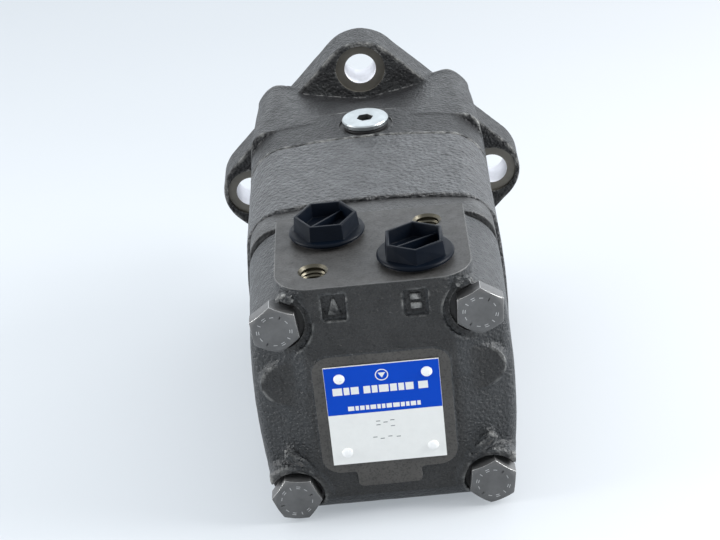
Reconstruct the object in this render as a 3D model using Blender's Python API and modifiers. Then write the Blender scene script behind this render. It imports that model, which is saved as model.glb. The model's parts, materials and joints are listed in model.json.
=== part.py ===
"""Disc-valve orbital hydraulic motor with a four-lobe flange and a keyed 32 mm shaft.

The motor lies on its side: the shaft points along +Y, the two ports open upwards and
+X is to the right of someone who looks at the rear cover. Blender's origin is under the
middle of the motor, level with the lowest flange lobe.

Lengths are in millimetres. A station is a distance along the motor's axis, counted from
the tops of the cover bolts towards the shaft end. x and up are measured from the axis.
Blender works in metres, so every helper scales by MM.
"""
import math

import bmesh
import bpy
from mathutils import Matrix, Vector

MM = 0.001
GAP = 0.3            # clearance between pieces that touch on the real motor
HALF_GAP = GAP / 2
ROUND = 32           # sides of a large turned piece
HOLE_SIDES = 16      # sides of a bolt hole

# Stations of the joints between the stacked castings
LENGTH = 259.5
REAR_FACE = 2.3
NAMEPLATE_PAD = 1.7
BOLT_SEAT = 6.4
COVER_FRONT = 57.5
PLATE_FRONT = 70.0
RING_FRONT = 124.8
SHOULDER = 143.0
FLANGE_BACK = 186.5
SPOTFACE = 187.5
FLANGE_FACE = 203.5
PILOT_FACE = 208.5

# Outline of the body: a square with slightly crowned sides and round corners
BODY_HALF = 49.9
LUG_HALF = 50.7
COVER_HALF = 48.4
SIDE_CROWN_RADIUS = 280.0
CORNER_RADIUS = 12.0

# Mounting flange: four lobes on one pitch circle
HOLE_CIRCLE_RADIUS = 53.2
HOLE_RADIUS = 6.75
SPOTFACE_RADIUS = 10.5
LOBE_REACH = 65.7
LOBE_NOSE_RADIUS = 17.9
PILOT_RADIUS = 41.25
SCOOP_RADIUS = 73.0  # wrench clearance scooped out of each side, towards the flange

# Four long bolts clamp the stack together
BOLT_OFFSET = 35.9
BOLT_RADIUS = 5.0
BOLT_HOLE_RADIUS = 5.5
BOLT_HEAD_FLATS = 16.0
BOLT_TIP = 160.0
BOLT_HOLE_END = 166.0

# Ports and their pad on top of the rear cover
PAD_TOP = 50.0
PAD_HALF_WIDTH = 34.5
PORTS = {"a": (-15.6, 41.8), "b": (15.4, 18.6)}
CAP_TURNS = {"a": 30.0, "b": 0.0}
PAD_THREADS = ((-20.9, 15.3), (20.7, 46.0))
PORT_RADIUS = 9.6
PORT_DEPTH = 16.0
PAD_THREAD_RADIUS = 4.4
PAD_THREAD_DEPTH = 14.0
TOP_SEAT_RADIUS = 12.9    # scallops cut round the upper and the lower bolt heads
LOWER_SEAT_RADIUS = 10.2
SEAT_LEDGE = 4.6          # station of the shallow ledge round the two upper heads
SEAT_LEDGE_RADIUS = 10.6
SIDE_SLOPE_START = 28.0           # the rear face falls away from this x, up to the sides
SIDE_SLOPE = 0.36
SIDE_BOSS = (35.3, 10.5, 8.6)     # x, up and radius
VALVE_CHAMBER_RADIUS = 31.3
VALVE_CHAMBER_FLOOR = 38.0

# Gear set: a six-lobe rotor orbits inside seven rollers
LOBES = 6
ROLLERS = LOBES + 1
ROLLER_CIRCLE = 33.0
ROLLER_RADIUS = 7.0
ECCENTRICITY = 2.5
RUNNING_GAP = 0.25
RING_BORE = 31.5

# Splines of the two drive links
SPLINE_TEETH = 12
SPLINE_RADIUS = 13.2
SPLINE_HEIGHT = 1.1
SPLINE_PLAY = 0.65
SHAFT_SPLINE = 150.0
ROTOR_SPLINE = 98.0
ROTOR_VALVE_SPLINE = 79.0
VALVE_SPLINE = 50.5

# Output shaft and its bearings
SHAFT_RADIUS = 16.0
SEAL_LAND_RADIUS = 17.5
REAR_JOURNAL_RADIUS = 20.0
SHAFT_REAR = 139.0
REAR_CUP_RADIUS = 34.0
FRONT_CUP_RADIUS = 31.0
SEAL_BORE_RADIUS = 25.0
BEARING_ROLLERS = 12
KEYWAY_START = 213.5
KEYWAY_END = 258.5
KEY_RISE = 3.0            # of the key above the shaft
SHAFT_CHAMFER = 1.5

# Case drain on top of the housing's band
DRAIN_STATION = 137.0
DRAIN_X = 0.7
DRAIN_SEAT = 49.0

MOTOR = (Matrix.Translation((0.0, -LENGTH / 2 * MM, LOBE_REACH * MM))
         @ Matrix.Rotation(math.pi / 2, 4, "X"))

MATERIALS = {
    "cast_iron": ((0.085, 0.085, 0.09), 0.55, 0.6),
    "ground_iron": ((0.30, 0.30, 0.31), 0.35, 0.9),
    "bolt_steel": ((0.45, 0.45, 0.46), 0.35, 1.0),
    "zinc_plate": ((0.75, 0.78, 0.80), 0.2, 1.0),
    "cap_plastic": ((0.012, 0.018, 0.03), 0.35, 0.0),
    "plate_face": ((0.80, 0.83, 0.85), 0.35, 0.3),
    "rivet": ((0.80, 0.80, 0.82), 0.3, 0.9),
    "bearing_steel": ((0.55, 0.55, 0.56), 0.15, 1.0),
    "hard_steel": ((0.40, 0.41, 0.43), 0.25, 1.0),
    "bronze": ((0.52, 0.36, 0.14), 0.35, 1.0),
    "rubber": ((0.015, 0.015, 0.016), 0.7, 0.0),
}


def local(x, station, up):
    """Motor coordinates in a frame's own axes, in metres."""
    return Vector((x, up, -station)) * MM


def start_scene():
    for old in list(bpy.data.objects):
        bpy.data.objects.remove(old, do_unlink=True)
    groups = {}
    for name in ("hydraulic_motor", "cutters"):
        groups[name] = bpy.data.collections.new(name)
        bpy.context.scene.collection.children.link(groups[name])
    return groups["hydraulic_motor"], groups["cutters"]


PARTS, CUTTERS = start_scene()


def finish_of(kind):
    """The shared Principled material of one kind of surface."""
    made = bpy.data.materials.get(kind)
    if made:
        return made
    colour, roughness, metallic = MATERIALS[kind]
    made = bpy.data.materials.new(kind)
    made.use_nodes = True
    shader = made.node_tree.nodes["Principled BSDF"]
    shader.inputs["Base Color"].default_value = (*colour, 1.0)
    shader.inputs["Roughness"].default_value = roughness
    shader.inputs["Metallic"].default_value = metallic
    return made


def put(name, mesh, kind, frame):
    """Make the object of a piece, or of a cutter when it has no kind of material."""
    made = bpy.data.objects.new(name, mesh)
    made.matrix_world = frame
    if kind:
        PARTS.objects.link(made)
        own = finish_of(kind).copy()
        own.name = name + "_finish"
        mesh.materials.append(own)
    else:
        CUTTERS.objects.link(made)
        made.hide_render = True
        made.display_type = "WIRE"
    return made


def shade(mesh):
    mesh.shade_smooth()
    mesh.set_sharp_from_angle(angle=math.radians(35))


def turned(name, profile, kind=None, frame=MOTOR, sides=ROUND, ring=False):
    """Turn (radius, station) points about the axis: rear to front along the outer side.

    A ring's profile is closed. Any other profile starts and ends on the axis.
    """
    mesh = bpy.data.meshes.new(name)
    edges = [(i, i + 1) for i in range(len(profile) - 1)]
    if ring:
        edges.append((len(profile) - 1, 0))
    mesh.from_pydata([local(r, station, 0.0) for r, station in profile], edges, [])
    made = put(name, mesh, kind, frame)
    screw = made.modifiers.new("turn", "SCREW")
    screw.angle = 2 * math.pi
    screw.steps = screw.render_steps = sides
    screw.use_merge_vertices = True
    screw.merge_threshold = 0.00001
    screw.use_smooth_shade = True
    return made


def bar(name, start, end, radius, kind=None, sides=HOLE_SIDES, tip=None, frame=MOTOR, turn=0.0):
    """A cylinder or cone between two (x, station, up) points."""
    a, b = local(*start), local(*end)
    along = b - a
    build = bmesh.new()
    spin = along.to_track_quat("Z", "Y").to_matrix().to_4x4()
    where = Matrix.Translation((a + b) / 2) @ spin @ Matrix.Rotation(turn, 4, "Z")
    tip_radius = radius if tip is None else tip
    bmesh.ops.create_cone(build, cap_ends=True, segments=sides, radius1=radius * MM,
                          radius2=tip_radius * MM, depth=along.length, matrix=where)
    mesh = bpy.data.meshes.new(name)
    build.to_mesh(mesh)
    build.free()
    shade(mesh)
    return put(name, mesh, kind, frame)


def block(name, low, high, kind=None, frame=MOTOR):
    """A box between two (x, station, up) corners."""
    a, b = local(*low), local(*high)
    build = bmesh.new()
    size = Matrix.Diagonal((*[abs(v) for v in b - a], 1.0))
    bmesh.ops.create_cube(build, size=1.0, matrix=Matrix.Translation((a + b) / 2) @ size)
    mesh = bpy.data.meshes.new(name)
    build.to_mesh(mesh)
    build.free()
    return put(name, mesh, kind, frame)


def outline_solid(name, loops, thickness, place, kind, frame):
    """Fill closed outlines (the first outside, the rest holes) and give them thickness."""
    curve = bpy.data.curves.new(name, "CURVE")
    curve.dimensions = "2D"
    curve.fill_mode = "BOTH"
    curve.extrude = thickness / 2 * MM
    for loop in loops:
        spline = curve.splines.new("POLY")
        spline.points.add(len(loop) - 1)
        spline.use_cyclic_u = True
        for point, (u, v) in zip(spline.points, loop):
            point.co = (u * MM, v * MM, 0.0, 1.0)
    guide = bpy.data.objects.new(name + "_outline", curve)
    CUTTERS.objects.link(guide)
    seen = guide.evaluated_get(bpy.context.evaluated_depsgraph_get())
    mesh = bpy.data.meshes.new_from_object(seen)
    bpy.data.objects.remove(guide, do_unlink=True)
    weld = bmesh.new()
    weld.from_mesh(mesh)
    bmesh.ops.remove_doubles(weld, verts=weld.verts, dist=0.000005)
    bmesh.ops.recalc_face_normals(weld, faces=weld.faces)
    weld.to_mesh(mesh)
    weld.free()
    mesh.transform(place)
    mesh.name = name
    shade(mesh)
    return put(name, mesh, kind, frame)


def prism(name, loops, rear, front, kind=None, frame=MOTOR):
    """A solid of constant (x, up) section between two stations."""
    middle = Matrix.Translation(local(0.0, (rear + front) / 2, 0.0))
    return outline_solid(name, loops, front - rear, middle, kind, frame)


def slab(name, loops, bottom, top, kind=None):
    """A solid of constant (x, station) plan between two heights above the axis."""
    lay = Matrix.Rotation(-math.pi / 2, 4, "X")
    lift = Matrix.Translation((0.0, (bottom + top) / 2 * MM, 0.0))
    return outline_solid(name, loops, top - bottom, lift @ lay, kind, MOTOR)


def boolean(target, operation, tools):
    for tool in tools:
        step = target.modifiers.new(tool.name, "BOOLEAN")
        step.operation = operation
        step.solver = "EXACT"
        step.object = tool


def cut(target, *tools):
    boolean(target, "DIFFERENCE", tools)


def join(target, *tools):
    boolean(target, "UNION", tools)


def arc(centre, radius, start, end, steps):
    """Points along an arc, in degrees, with both ends."""
    turn = [math.radians(start + (end - start) * i / steps) for i in range(steps + 1)]
    return [(centre[0] + radius * math.cos(a), centre[1] + radius * math.sin(a)) for a in turn]


def circle(centre, radius, sides=HOLE_SIDES, phase=0.0):
    return arc(centre, radius, phase, phase + 360.0, sides)[:-1]


def polar(radius, angle):
    """The point at a distance and an angle (degrees) from the axis."""
    return radius * math.cos(math.radians(angle)), radius * math.sin(math.radians(angle))


def turn_four(quarter):
    """Repeat one side's points for the four sides of the body."""
    loop = []
    for c, s in ((1, 0), (0, 1), (-1, 0), (0, -1)):
        loop += [(x * c - y * s, x * s + y * c) for x, y in quarter]
    return loop


def crowned_square(half, side_steps=4, corner_steps=4):
    """The body's section: crowned sides that run smoothly into round corners."""
    back = SIDE_CROWN_RADIUS - half
    reach = SIDE_CROWN_RADIUS - CORNER_RADIUS
    corner = (math.sqrt(2 * reach ** 2 - back ** 2) - back) / 2
    end = math.degrees(math.atan2(corner, corner + back))
    side = arc((-back, 0.0), SIDE_CROWN_RADIUS, -end, end, side_steps)
    bend = arc((corner, corner), CORNER_RADIUS, end, 90.0 - end, corner_steps)
    return turn_four(side[:-1] + bend[:-1])


def flange_outline():
    nose_centre = (LOBE_REACH - LOBE_NOSE_RADIUS, 0.0)
    return turn_four(arc(nose_centre, LOBE_NOSE_RADIUS, -45.0, 45.0, 8))


def rounded_plan(left, right, rear, front, rear_radius, front_radius):
    """Rectangle in (x, station) with its own corner radius at each end."""
    return (arc((right - rear_radius, rear + rear_radius), rear_radius, -90, 0, 5)
            + arc((right - front_radius, front - front_radius), front_radius, 0, 90, 2)
            + arc((left + front_radius, front - front_radius), front_radius, 90, 180, 2)
            + arc((left + rear_radius, rear + rear_radius), rear_radius, 180, 270, 5))


def splined_loop(radius, height=SPLINE_HEIGHT, per_tooth=4):
    """A circle with one soft wave for each spline tooth."""
    count = SPLINE_TEETH * per_tooth
    loop = []
    for i in range(count):
        a = 2 * math.pi * i / count
        r = radius + height * math.cos(SPLINE_TEETH * a)
        loop.append((r * math.cos(a), r * math.sin(a)))
    return loop


def rotor_loop(steps=16):
    """The rotor's section: the path of a roller's centre, moved inwards by its radius."""
    offset = ROLLER_RADIUS + RUNNING_GAP
    loop = []
    for i in range(LOBES * steps):
        t = 2 * math.pi * i / (LOBES * steps)
        path = ROLLER_CIRCLE * complex(math.cos(t), math.sin(t))
        wave = complex(math.cos(ROLLERS * t), math.sin(ROLLERS * t))
        heading = 1j * path - 1j * ROLLERS * ECCENTRICITY * wave
        spot = path - ECCENTRICITY * wave + offset * 1j * heading / abs(heading)
        loop.append((spot.real, spot.imag))
    return loop


def roller_centres():
    return [polar(ROLLER_CIRCLE, 360.0 * k / ROLLERS) for k in range(ROLLERS)]


def ring_bore_loop():
    """The gear ring's bore, with one round pocket for each roller."""
    pocket = ROLLER_RADIUS + RUNNING_GAP
    inner = math.acos((ROLLER_CIRCLE ** 2 + pocket ** 2 - RING_BORE ** 2)
                      / (2 * ROLLER_CIRCLE * pocket))
    lip = math.degrees(math.asin(pocket * math.sin(inner) / RING_BORE))
    spread = 180.0 - math.degrees(inner)
    pitch = 360.0 / ROLLERS
    loop = []
    for k, centre in enumerate(roller_centres()):
        loop += arc(centre, pocket, k * pitch - spread, k * pitch + spread, 10)
        loop += arc((0.0, 0.0), RING_BORE, k * pitch + lip, (k + 1) * pitch - lip, 3)[1:-1]
    return loop


def bolt_places():
    """The four bolts as (name number, x, up), clockwise from the upper left."""
    signs = ((-1, 1), (1, 1), (1, -1), (-1, -1))
    return [(i + 1, x * BOLT_OFFSET, up * BOLT_OFFSET) for i, (x, up) in enumerate(signs)]


def bolt_hole_loops():
    return [circle((x, up), BOLT_HOLE_RADIUS, 14, 5.0 * number) for number, x, up in bolt_places()]


def seal_groove(name, face, inward):
    """Cutter for an O-ring groove in a face, with inward +1 towards the shaft end."""
    near, far = sorted((face - inward, face + 1.6 * inward))
    turn = MOTOR @ Matrix.Rotation(math.radians(3.0), 4, "Z")
    return turned(name, [(44.3, near), (44.3, far), (41.2, far), (41.2, near)], frame=turn,
                  ring=True)


def body_seal(name, start):
    """An O-ring with a squeezed section, lying between two of the castings."""
    profile = [(44.0, start + 0.85), (42.8, start + 1.55), (41.5, start + 0.85),
               (42.8, start + 0.25)]
    turned(name, profile, "rubber", ring=True)


def front_housing():
    """Casting with the bearings: a band, four bolt lugs, the flange and the pilot."""
    body = prism("front_housing", [crowned_square(BODY_HALF)],
                 RING_FRONT + HALF_GAP, SHOULDER + 1.0, "cast_iron")
    lugs = prism("lug_block", [crowned_square(LUG_HALF)], SHOULDER, SPOTFACE)
    flange = prism("flange_plate", [flange_outline()], FLANGE_BACK, FLANGE_FACE)
    pilot = bar("pilot_ring", (0, FLANGE_FACE - 1, 0), (0, PILOT_FACE, 0), PILOT_RADIUS,
                sides=ROUND)
    join(body, lugs)
    sides = ((0, 1), (1, 0), (0, -1), (-1, 0))
    for k, (x, up) in enumerate(sides):
        shallow, deep = SCOOP_RADIUS + 52.0, SCOOP_RADIUS + 38.0
        cut(body, bar(f"scoop_{k}", (x * shallow, SHOULDER - 2, up * shallow),
                      (x * deep, FLANGE_BACK + 10, up * deep), SCOOP_RADIUS, sides=72))
    join(body, flange, pilot)
    for k, (x, up) in enumerate(sides):
        hx, hz = x * HOLE_CIRCLE_RADIUS, up * HOLE_CIRCLE_RADIUS
        cut(body, bar(f"spotface_{k}", (hx, SPOTFACE - 14, hz), (hx, SPOTFACE, hz),
                      SPOTFACE_RADIUS),
            bar(f"flange_hole_{k}", (hx, SPOTFACE - 1, hz), (hx, FLANGE_FACE + 1, hz),
                HOLE_RADIUS))
    plate_seat, cup_shoulder, seal_shoulder = 131.3, 165.2, 184.9
    bore = turned("bearing_bore", [
        (0.0, RING_FRONT - 1), (38.3, RING_FRONT - 1), (38.3, plate_seat),
        (REAR_CUP_RADIUS + HALF_GAP, plate_seat), (REAR_CUP_RADIUS + HALF_GAP, cup_shoulder),
        (FRONT_CUP_RADIUS + HALF_GAP, cup_shoulder),
        (FRONT_CUP_RADIUS + HALF_GAP, seal_shoulder),
        (SEAL_BORE_RADIUS + HALF_GAP, seal_shoulder),
        (SEAL_BORE_RADIUS + HALF_GAP, PILOT_FACE + 1), (0.0, PILOT_FACE + 1)])
    cut(body, bore, seal_groove("housing_groove", RING_FRONT, 1))
    for number, x, up in bolt_places():
        cut(body, bar(f"housing_bolt_hole_{number}", (x, RING_FRONT - 1, up),
                      (x, BOLT_HOLE_END, up), BOLT_HOLE_RADIUS, sides=14))
    cut(body, bar("drain_counterbore", (DRAIN_X, DRAIN_STATION, DRAIN_SEAT),
                  (DRAIN_X, DRAIN_STATION, DRAIN_SEAT + 10), 10.85),
        bar("drain_hole", (DRAIN_X, DRAIN_STATION, 30), (DRAIN_X, DRAIN_STATION, 52), 6.9))


def wear_plate():
    """Hardened disc that closes the gear set towards the bearings."""
    turned("wear_plate", [(38.0, RING_FRONT + HALF_GAP), (38.0, 131.0),
                          (19.0, 131.0), (19.0, RING_FRONT + HALF_GAP)],
           "hard_steel", ring=True)


def gear_ring():
    rear, front = PLATE_FRONT + HALF_GAP, RING_FRONT - HALF_GAP
    prism("gear_ring", [crowned_square(BODY_HALF), ring_bore_loop(), *bolt_hole_loops()],
          rear, front, "cast_iron")


def valve_plate():
    """Channel plate: one slanting oil way to each chamber of the gear set."""
    rear, front = COVER_FRONT + HALF_GAP, PLATE_FRONT - HALF_GAP
    ways = [polar(26.0, 360.0 * (k + 0.5) / ROLLERS) for k in range(ROLLERS)]
    plate = prism("valve_plate", [crowned_square(COVER_HALF), circle((0, 0), 17.5, ROUND),
                                  *[circle(way, 3.0, 8) for way in ways],
                                  *bolt_hole_loops()], rear, front, "ground_iron")
    cut(plate, seal_groove("plate_front_groove", PLATE_FRONT, -1),
        seal_groove("plate_rear_groove", COVER_FRONT, 1))


def rear_cover():
    """Casting with the two ports, the valve chamber and the seats of the bolt heads."""
    front = COVER_FRONT - HALF_GAP
    cover = prism("rear_cover", [crowned_square(COVER_HALF)], REAR_FACE, front, "cast_iron")
    for corner in cover.data.vertices:
        if -corner.co.z / MM < REAR_FACE + 1:
            corner.co.x *= 0.965
            corner.co.y *= 0.965
    pad_plan = rounded_plan(-PAD_HALF_WIDTH, PAD_HALF_WIDTH, REAR_FACE, front, 13.0, 3.0)
    join(cover, slab("port_pad", [pad_plan], 30.0, PAD_TOP),
         block("nameplate_boss", (-25.0, NAMEPLATE_PAD, -26.5), (24.0, REAR_FACE + 2, 22.3)),
         block("nameplate_boss_tab", (-12.8, NAMEPLATE_PAD, -33.0), (10.5, REAR_FACE + 2, -26.0)))
    cut(cover, bar("lower_rear_bevel", (-60, -4.0, -52.0), (60, -4.0, -52.0), 16.0))
    side_slopes(cover)
    top, floor, wall = PAD_TOP, VALVE_CHAMBER_FLOOR, VALVE_CHAMBER_RADIUS
    chamber = turned("valve_chamber", [
        (0.0, floor - 5), (16.0, floor - 5), (16.0, floor), (wall, floor),
        (wall, front + 1), (0.0, front + 1)])
    cut(cover, chamber)
    for name, (x, station) in PORTS.items():
        cut(cover, bar(f"port_{name}_bore", (x, station, top + 1), (x, station, top - PORT_DEPTH),
                       PORT_RADIUS, sides=24))
    (ax, a_station), (bx, b_station) = PORTS["a"], PORTS["b"]
    cut(cover, bar("port_a_way", (ax, a_station, 40), (ax, a_station, 20), 6.0),
        bar("port_b_way", (bx, b_station, 40), (bx, b_station, 2), 6.0),
        bar("port_b_to_chamber", (11.0, b_station - 3, 3), (11.0, floor + 1, 3), 5.0))
    for i, (x, station) in enumerate(PAD_THREADS):
        cut(cover, bar(f"pad_thread_{i}", (x, station, top + 1),
                       (x, station, top - PAD_THREAD_DEPTH), PAD_THREAD_RADIUS, sides=16))
    for number, x, up in bolt_places():
        seat_radius = SEAT_LEDGE_RADIUS if up > 0 else LOWER_SEAT_RADIUS
        if up > 0:
            cut(cover, bar(f"bolt_ledge_{number}", (x, -5, up), (x, SEAT_LEDGE, up),
                           TOP_SEAT_RADIUS, sides=24))
        cut(cover, bar(f"bolt_seat_{number}", (x, -5, up), (x, BOLT_SEAT + HALF_GAP, up),
                       seat_radius, sides=24),
            bar(f"cover_bolt_hole_{number}", (x, 0, up), (x, front + 1, up),
                BOLT_HOLE_RADIUS, sides=14))
    for number, x, up in rivet_places():
        cut(cover, bar(f"rivet_hole_{number}", (x, 0, up), (x, 8.0, up), 1.4, sides=8))


def side_slopes(cover):
    """The rear face slopes back on both sides, and a flat round boss stands on each slope."""
    run = 50.0 - SIDE_SLOPE_START
    for side in (-1, 1):
        wedge = [(SIDE_SLOPE_START * side, REAR_FACE), (50.0 * side, REAR_FACE + run * SIDE_SLOPE),
                 (50.0 * side, -5.0), (SIDE_SLOPE_START * side, -5.0)]
        cut(cover, slab(f"side_slope_{side}", [wedge[::side]], -60.0, 60.0))
        x, up, radius = SIDE_BOSS
        level = REAR_FACE + (x - 0.5 - SIDE_SLOPE_START) * SIDE_SLOPE
        join(cover, bar(f"side_boss_{side}", (side * x, level, up), (side * x, 9.0, up), radius,
                        sides=24))


def cover_bolts():
    """Long hex bolts that clamp cover, plate, ring and housing together."""
    spins = (-6.0, 3.0, 8.0, -23.0)
    flat_radius = BOLT_HEAD_FLATS / 2
    point_radius = flat_radius / math.cos(math.pi / 6)
    for (number, x, up), spin in zip(bolt_places(), spins):
        turn = math.radians(spin)
        chamfer = 1.0
        head = bar(f"cover_bolt_{number}", (x, chamfer, up), (x, BOLT_SEAT, up), point_radius,
                   "bolt_steel", sides=6, turn=turn)
        cap = bar(f"bolt_head_top_{number}", (x, 0.0, up), (x, chamfer + 0.001, up),
                  point_radius * 0.9, sides=6, tip=point_radius, turn=turn)
        shank = bar(f"bolt_shank_{number}", (x, BOLT_SEAT - 1, up), (x, BOLT_TIP, up),
                    BOLT_RADIUS, sides=14)
        join(head, cap, shank)


def rivet_places():
    places = ((-15.6, 13.7), (15.4, 13.7), (15.4, -17.4), (-15.6, -17.4))
    return [(i + 1, x, up) for i, (x, up) in enumerate(places)]


def nameplate():
    """Thin identification plate on its pad, held by four drive rivets."""
    corners = [(-21.0, -22.5), (20.0, -22.5), (20.0, 18.5), (-21.0, 18.5)]
    holes = [circle((x, up), 1.4, 8, 5.0 * number) for number, x, up in rivet_places()]
    prism("nameplate", [corners, *holes], 0.9, 1.4, "plate_face")
    for number, x, up in rivet_places():
        rivet = bar(f"nameplate_rivet_{number}", (x, 0.05, up), (x, 0.6, up), 1.4, "rivet",
                    sides=12, tip=2.0)
        join(rivet, bar(f"rivet_stem_{number}", (x, 0.4, up), (x, 6.0, up), 1.0, sides=8))


def port_caps():
    """Plastic transport plugs: a flange, a hollow hexagon and a short stem in the port."""
    for letter, (x, station) in PORTS.items():
        seat = PAD_TOP + GAP
        bar(f"port_cap_seal_{letter}", (x, station, seat), (x, station, seat + 0.7), 12.6,
            "rubber", sides=24)
        seal = PARTS.objects[f"port_cap_seal_{letter}"]
        cut(seal, bar(f"seal_hole_{letter}", (x, station, seat - 1), (x, station, seat + 2), 9.6,
                      sides=24))
        base = seat + 0.7 + GAP
        turn = math.radians(CAP_TURNS[letter])
        cap = bar(f"port_cap_{letter}", (x, station, base), (x, station, base + 1.6), 13.8,
                  "cap_plastic", sides=28)
        hexagon = bar(f"cap_hexagon_{letter}", (x, station, base + 1), (x, station, base + 7.2),
                      12.6, sides=6, turn=turn)
        stem = bar(f"cap_stem_{letter}", (x, station, base - 9.5), (x, station, base + 1), 9.1,
                   sides=24)
        join(cap, hexagon, stem)
        cut(cap, bar(f"cap_hollow_{letter}", (x, station, base + 1.8), (x, station, base + 9),
                     10.7, sides=6, turn=turn))


def drain_plug():
    """Case drain plug with a collar and a hexagon socket, on a sealing washer."""
    x, station, seat = DRAIN_X, DRAIN_STATION, DRAIN_SEAT + GAP
    washer = bar("drain_plug_washer", (x, station, seat), (x, station, seat + 0.9), 9.0,
                 "rubber", sides=24)
    cut(washer, bar("washer_hole", (x, station, seat - 1), (x, station, seat + 2), 7.0))
    collar = seat + 0.9 + GAP
    plug = bar("drain_plug", (x, station, collar), (x, station, collar + 2.2), 9.4,
               "zinc_plate", sides=24, tip=9.1)
    join(plug, bar("plug_stem", (x, station, collar - 9.0), (x, station, collar + 1), 6.5))
    cut(plug, bar("plug_socket", (x, station, collar - 4), (x, station, collar + 3), 3.46,
                  sides=6))


def output_shaft():
    """Hollow-ended shaft: spline socket at the rear, keyed 32 mm extension at the front."""
    shaft = turned("output_shaft", [
        (0.0, SHAFT_REAR), (REAR_JOURNAL_RADIUS - 1, SHAFT_REAR),
        (REAR_JOURNAL_RADIUS, SHAFT_REAR + 1), (REAR_JOURNAL_RADIUS, 165.4), (22.5, 165.4),
        (22.5, 167.6), (SEAL_LAND_RADIUS, 167.6), (SEAL_LAND_RADIUS, PILOT_FACE - 4),
        (SHAFT_RADIUS, PILOT_FACE - 2.5), (SHAFT_RADIUS, LENGTH - SHAFT_CHAMFER),
        (SHAFT_RADIUS - SHAFT_CHAMFER, LENGTH), (0.0, LENGTH)], "hard_steel")
    socket = prism("shaft_socket", [splined_loop(SPLINE_RADIUS + SPLINE_PLAY)],
                   SHAFT_REAR - 1, 163.0)
    cut(shaft, socket,
        bar("shaft_relief", (0, 162.5, 0), (0, 172, 0), 13.0, tip=4.0, sides=12),
        slab("keyway", [keyway_plan(5.15)], SHAFT_RADIUS - 5.15, SHAFT_RADIUS + 2),
        bar("shaft_thread", (0, LENGTH - 22, 0), (0, LENGTH + 1, 0), 4.3, sides=16))


def keyway_plan(radius):
    """A round-ended slot in the shaft extension."""
    first, last = (0.0, KEYWAY_START + 5.0), (0.0, KEYWAY_END - 5.0)
    return arc(last, radius, 0, 180, 8) + arc(first, radius, 180, 360, 8)


def shaft_key():
    slab("shaft_key", [keyway_plan(4.85)], SHAFT_RADIUS - 4.85, SHAFT_RADIUS + KEY_RISE,
         "bearing_steel")


def shaft_nut():
    """Slotted nut that holds the rear bearing on the shaft."""
    nut = turned("shaft_nut", [(27.0, 140.5), (27.0, 146.2), (20.3, 146.2), (20.3, 140.5)],
                 "bolt_steel", ring=True, sides=24)
    for x, up in ((0, 1), (1, 0), (0, -1), (-1, 0)):
        half = [2.5 if v == 0 else 4.0 for v in (x, up)]
        cut(nut, block(f"nut_slot_{x}_{up}", (x * 27.5 - half[0], 139, up * 27.5 - half[1]),
                       (x * 27.5 + half[0], 147, up * 27.5 + half[1])))


def tapered_bearing(side, rear, width, shaft_radius, cup_radius, large_end):
    """Cup, cone and caged rollers, with large_end +1 when the taper opens to the front."""
    middle = (shaft_radius + cup_radius) / 2
    inner, outer = middle - 2.6, middle + 2.6
    lean = 1.2 * large_end
    start, end = rear + GAP, rear + width - GAP
    turned(f"{side}_bearing_cup", [(cup_radius, start), (cup_radius, end),
                                   (outer + 0.6 + lean, end), (outer + 0.6 - lean, start)],
           "bearing_steel", ring=True)
    turned(f"{side}_bearing_cone", [(inner - 0.6 - lean, start), (inner - 0.6 + lean, end),
                                    (shaft_radius + GAP, end), (shaft_radius + GAP, start)],
           "bearing_steel", ring=True)
    set_name = f"{side}_bearing_rollers"
    cage = turned(set_name, [(middle + 0.7 - lean, start + 0.6), (middle + 0.7 + lean, end - 0.6),
                             (middle - 0.7 + lean, end - 0.6), (middle - 0.7 - lean, start + 0.6)],
                  "bronze", ring=True, sides=BEARING_ROLLERS * 2)
    for k in range(BEARING_ROLLERS):
        near, far = [polar(middle + shift, 360.0 * k / BEARING_ROLLERS)
                     for shift in (-lean * 0.7, lean * 0.7)]
        join(cage, bar(f"{set_name}_{k}", (near[0], start + 2.5, near[1]),
                       (far[0], end - 2.5, far[1]), 2.4 - 0.2 * large_end,
                       tip=2.4 + 0.2 * large_end, sides=6))


def shaft_seals():
    """A lip seal behind the pilot and a dust seal in front of it."""
    for name, start, width in (("shaft_seal", 189.0, 8.0), ("dust_seal", 200.0, 5.0)):
        lip = SEAL_LAND_RADIUS + GAP
        rim = SEAL_BORE_RADIUS - HALF_GAP
        profile = [(rim, start), (rim, start + width), (lip + 1.5, start + width),
                   (lip, start + width * 0.5), (lip + 2.0, start)]
        turned(name, profile, "rubber", ring=True)


def gear_set():
    """The rotor, off centre by the eccentricity, and its seven rollers."""
    rear, front = PLATE_FRONT + GAP, RING_FRONT - GAP
    centre = MOTOR @ Matrix.Translation(local(ECCENTRICITY, 0, 0))
    prism("rotor", [rotor_loop(), splined_loop(SPLINE_RADIUS + SPLINE_PLAY)], rear, front,
          "hard_steel", centre)
    for k, (x, up) in enumerate(roller_centres()):
        place = MOTOR @ Matrix.Translation(local(x, 0, up))
        bar(f"roller_{k + 1}", (0, rear, 0), (0, front, 0), ROLLER_RADIUS, "bearing_steel",
            sides=20, frame=place)


def link_frame(fixed_station, rotor_station):
    """A frame whose axis runs from the motor's axis to the rotor's own centre."""
    tilt = math.atan2(ECCENTRICITY, fixed_station - rotor_station)
    if rotor_station > fixed_station:
        tilt -= math.pi
    return (MOTOR @ Matrix.Translation(local(0, fixed_station, 0))
            @ Matrix.Rotation(tilt, 4, "Y"))


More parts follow.
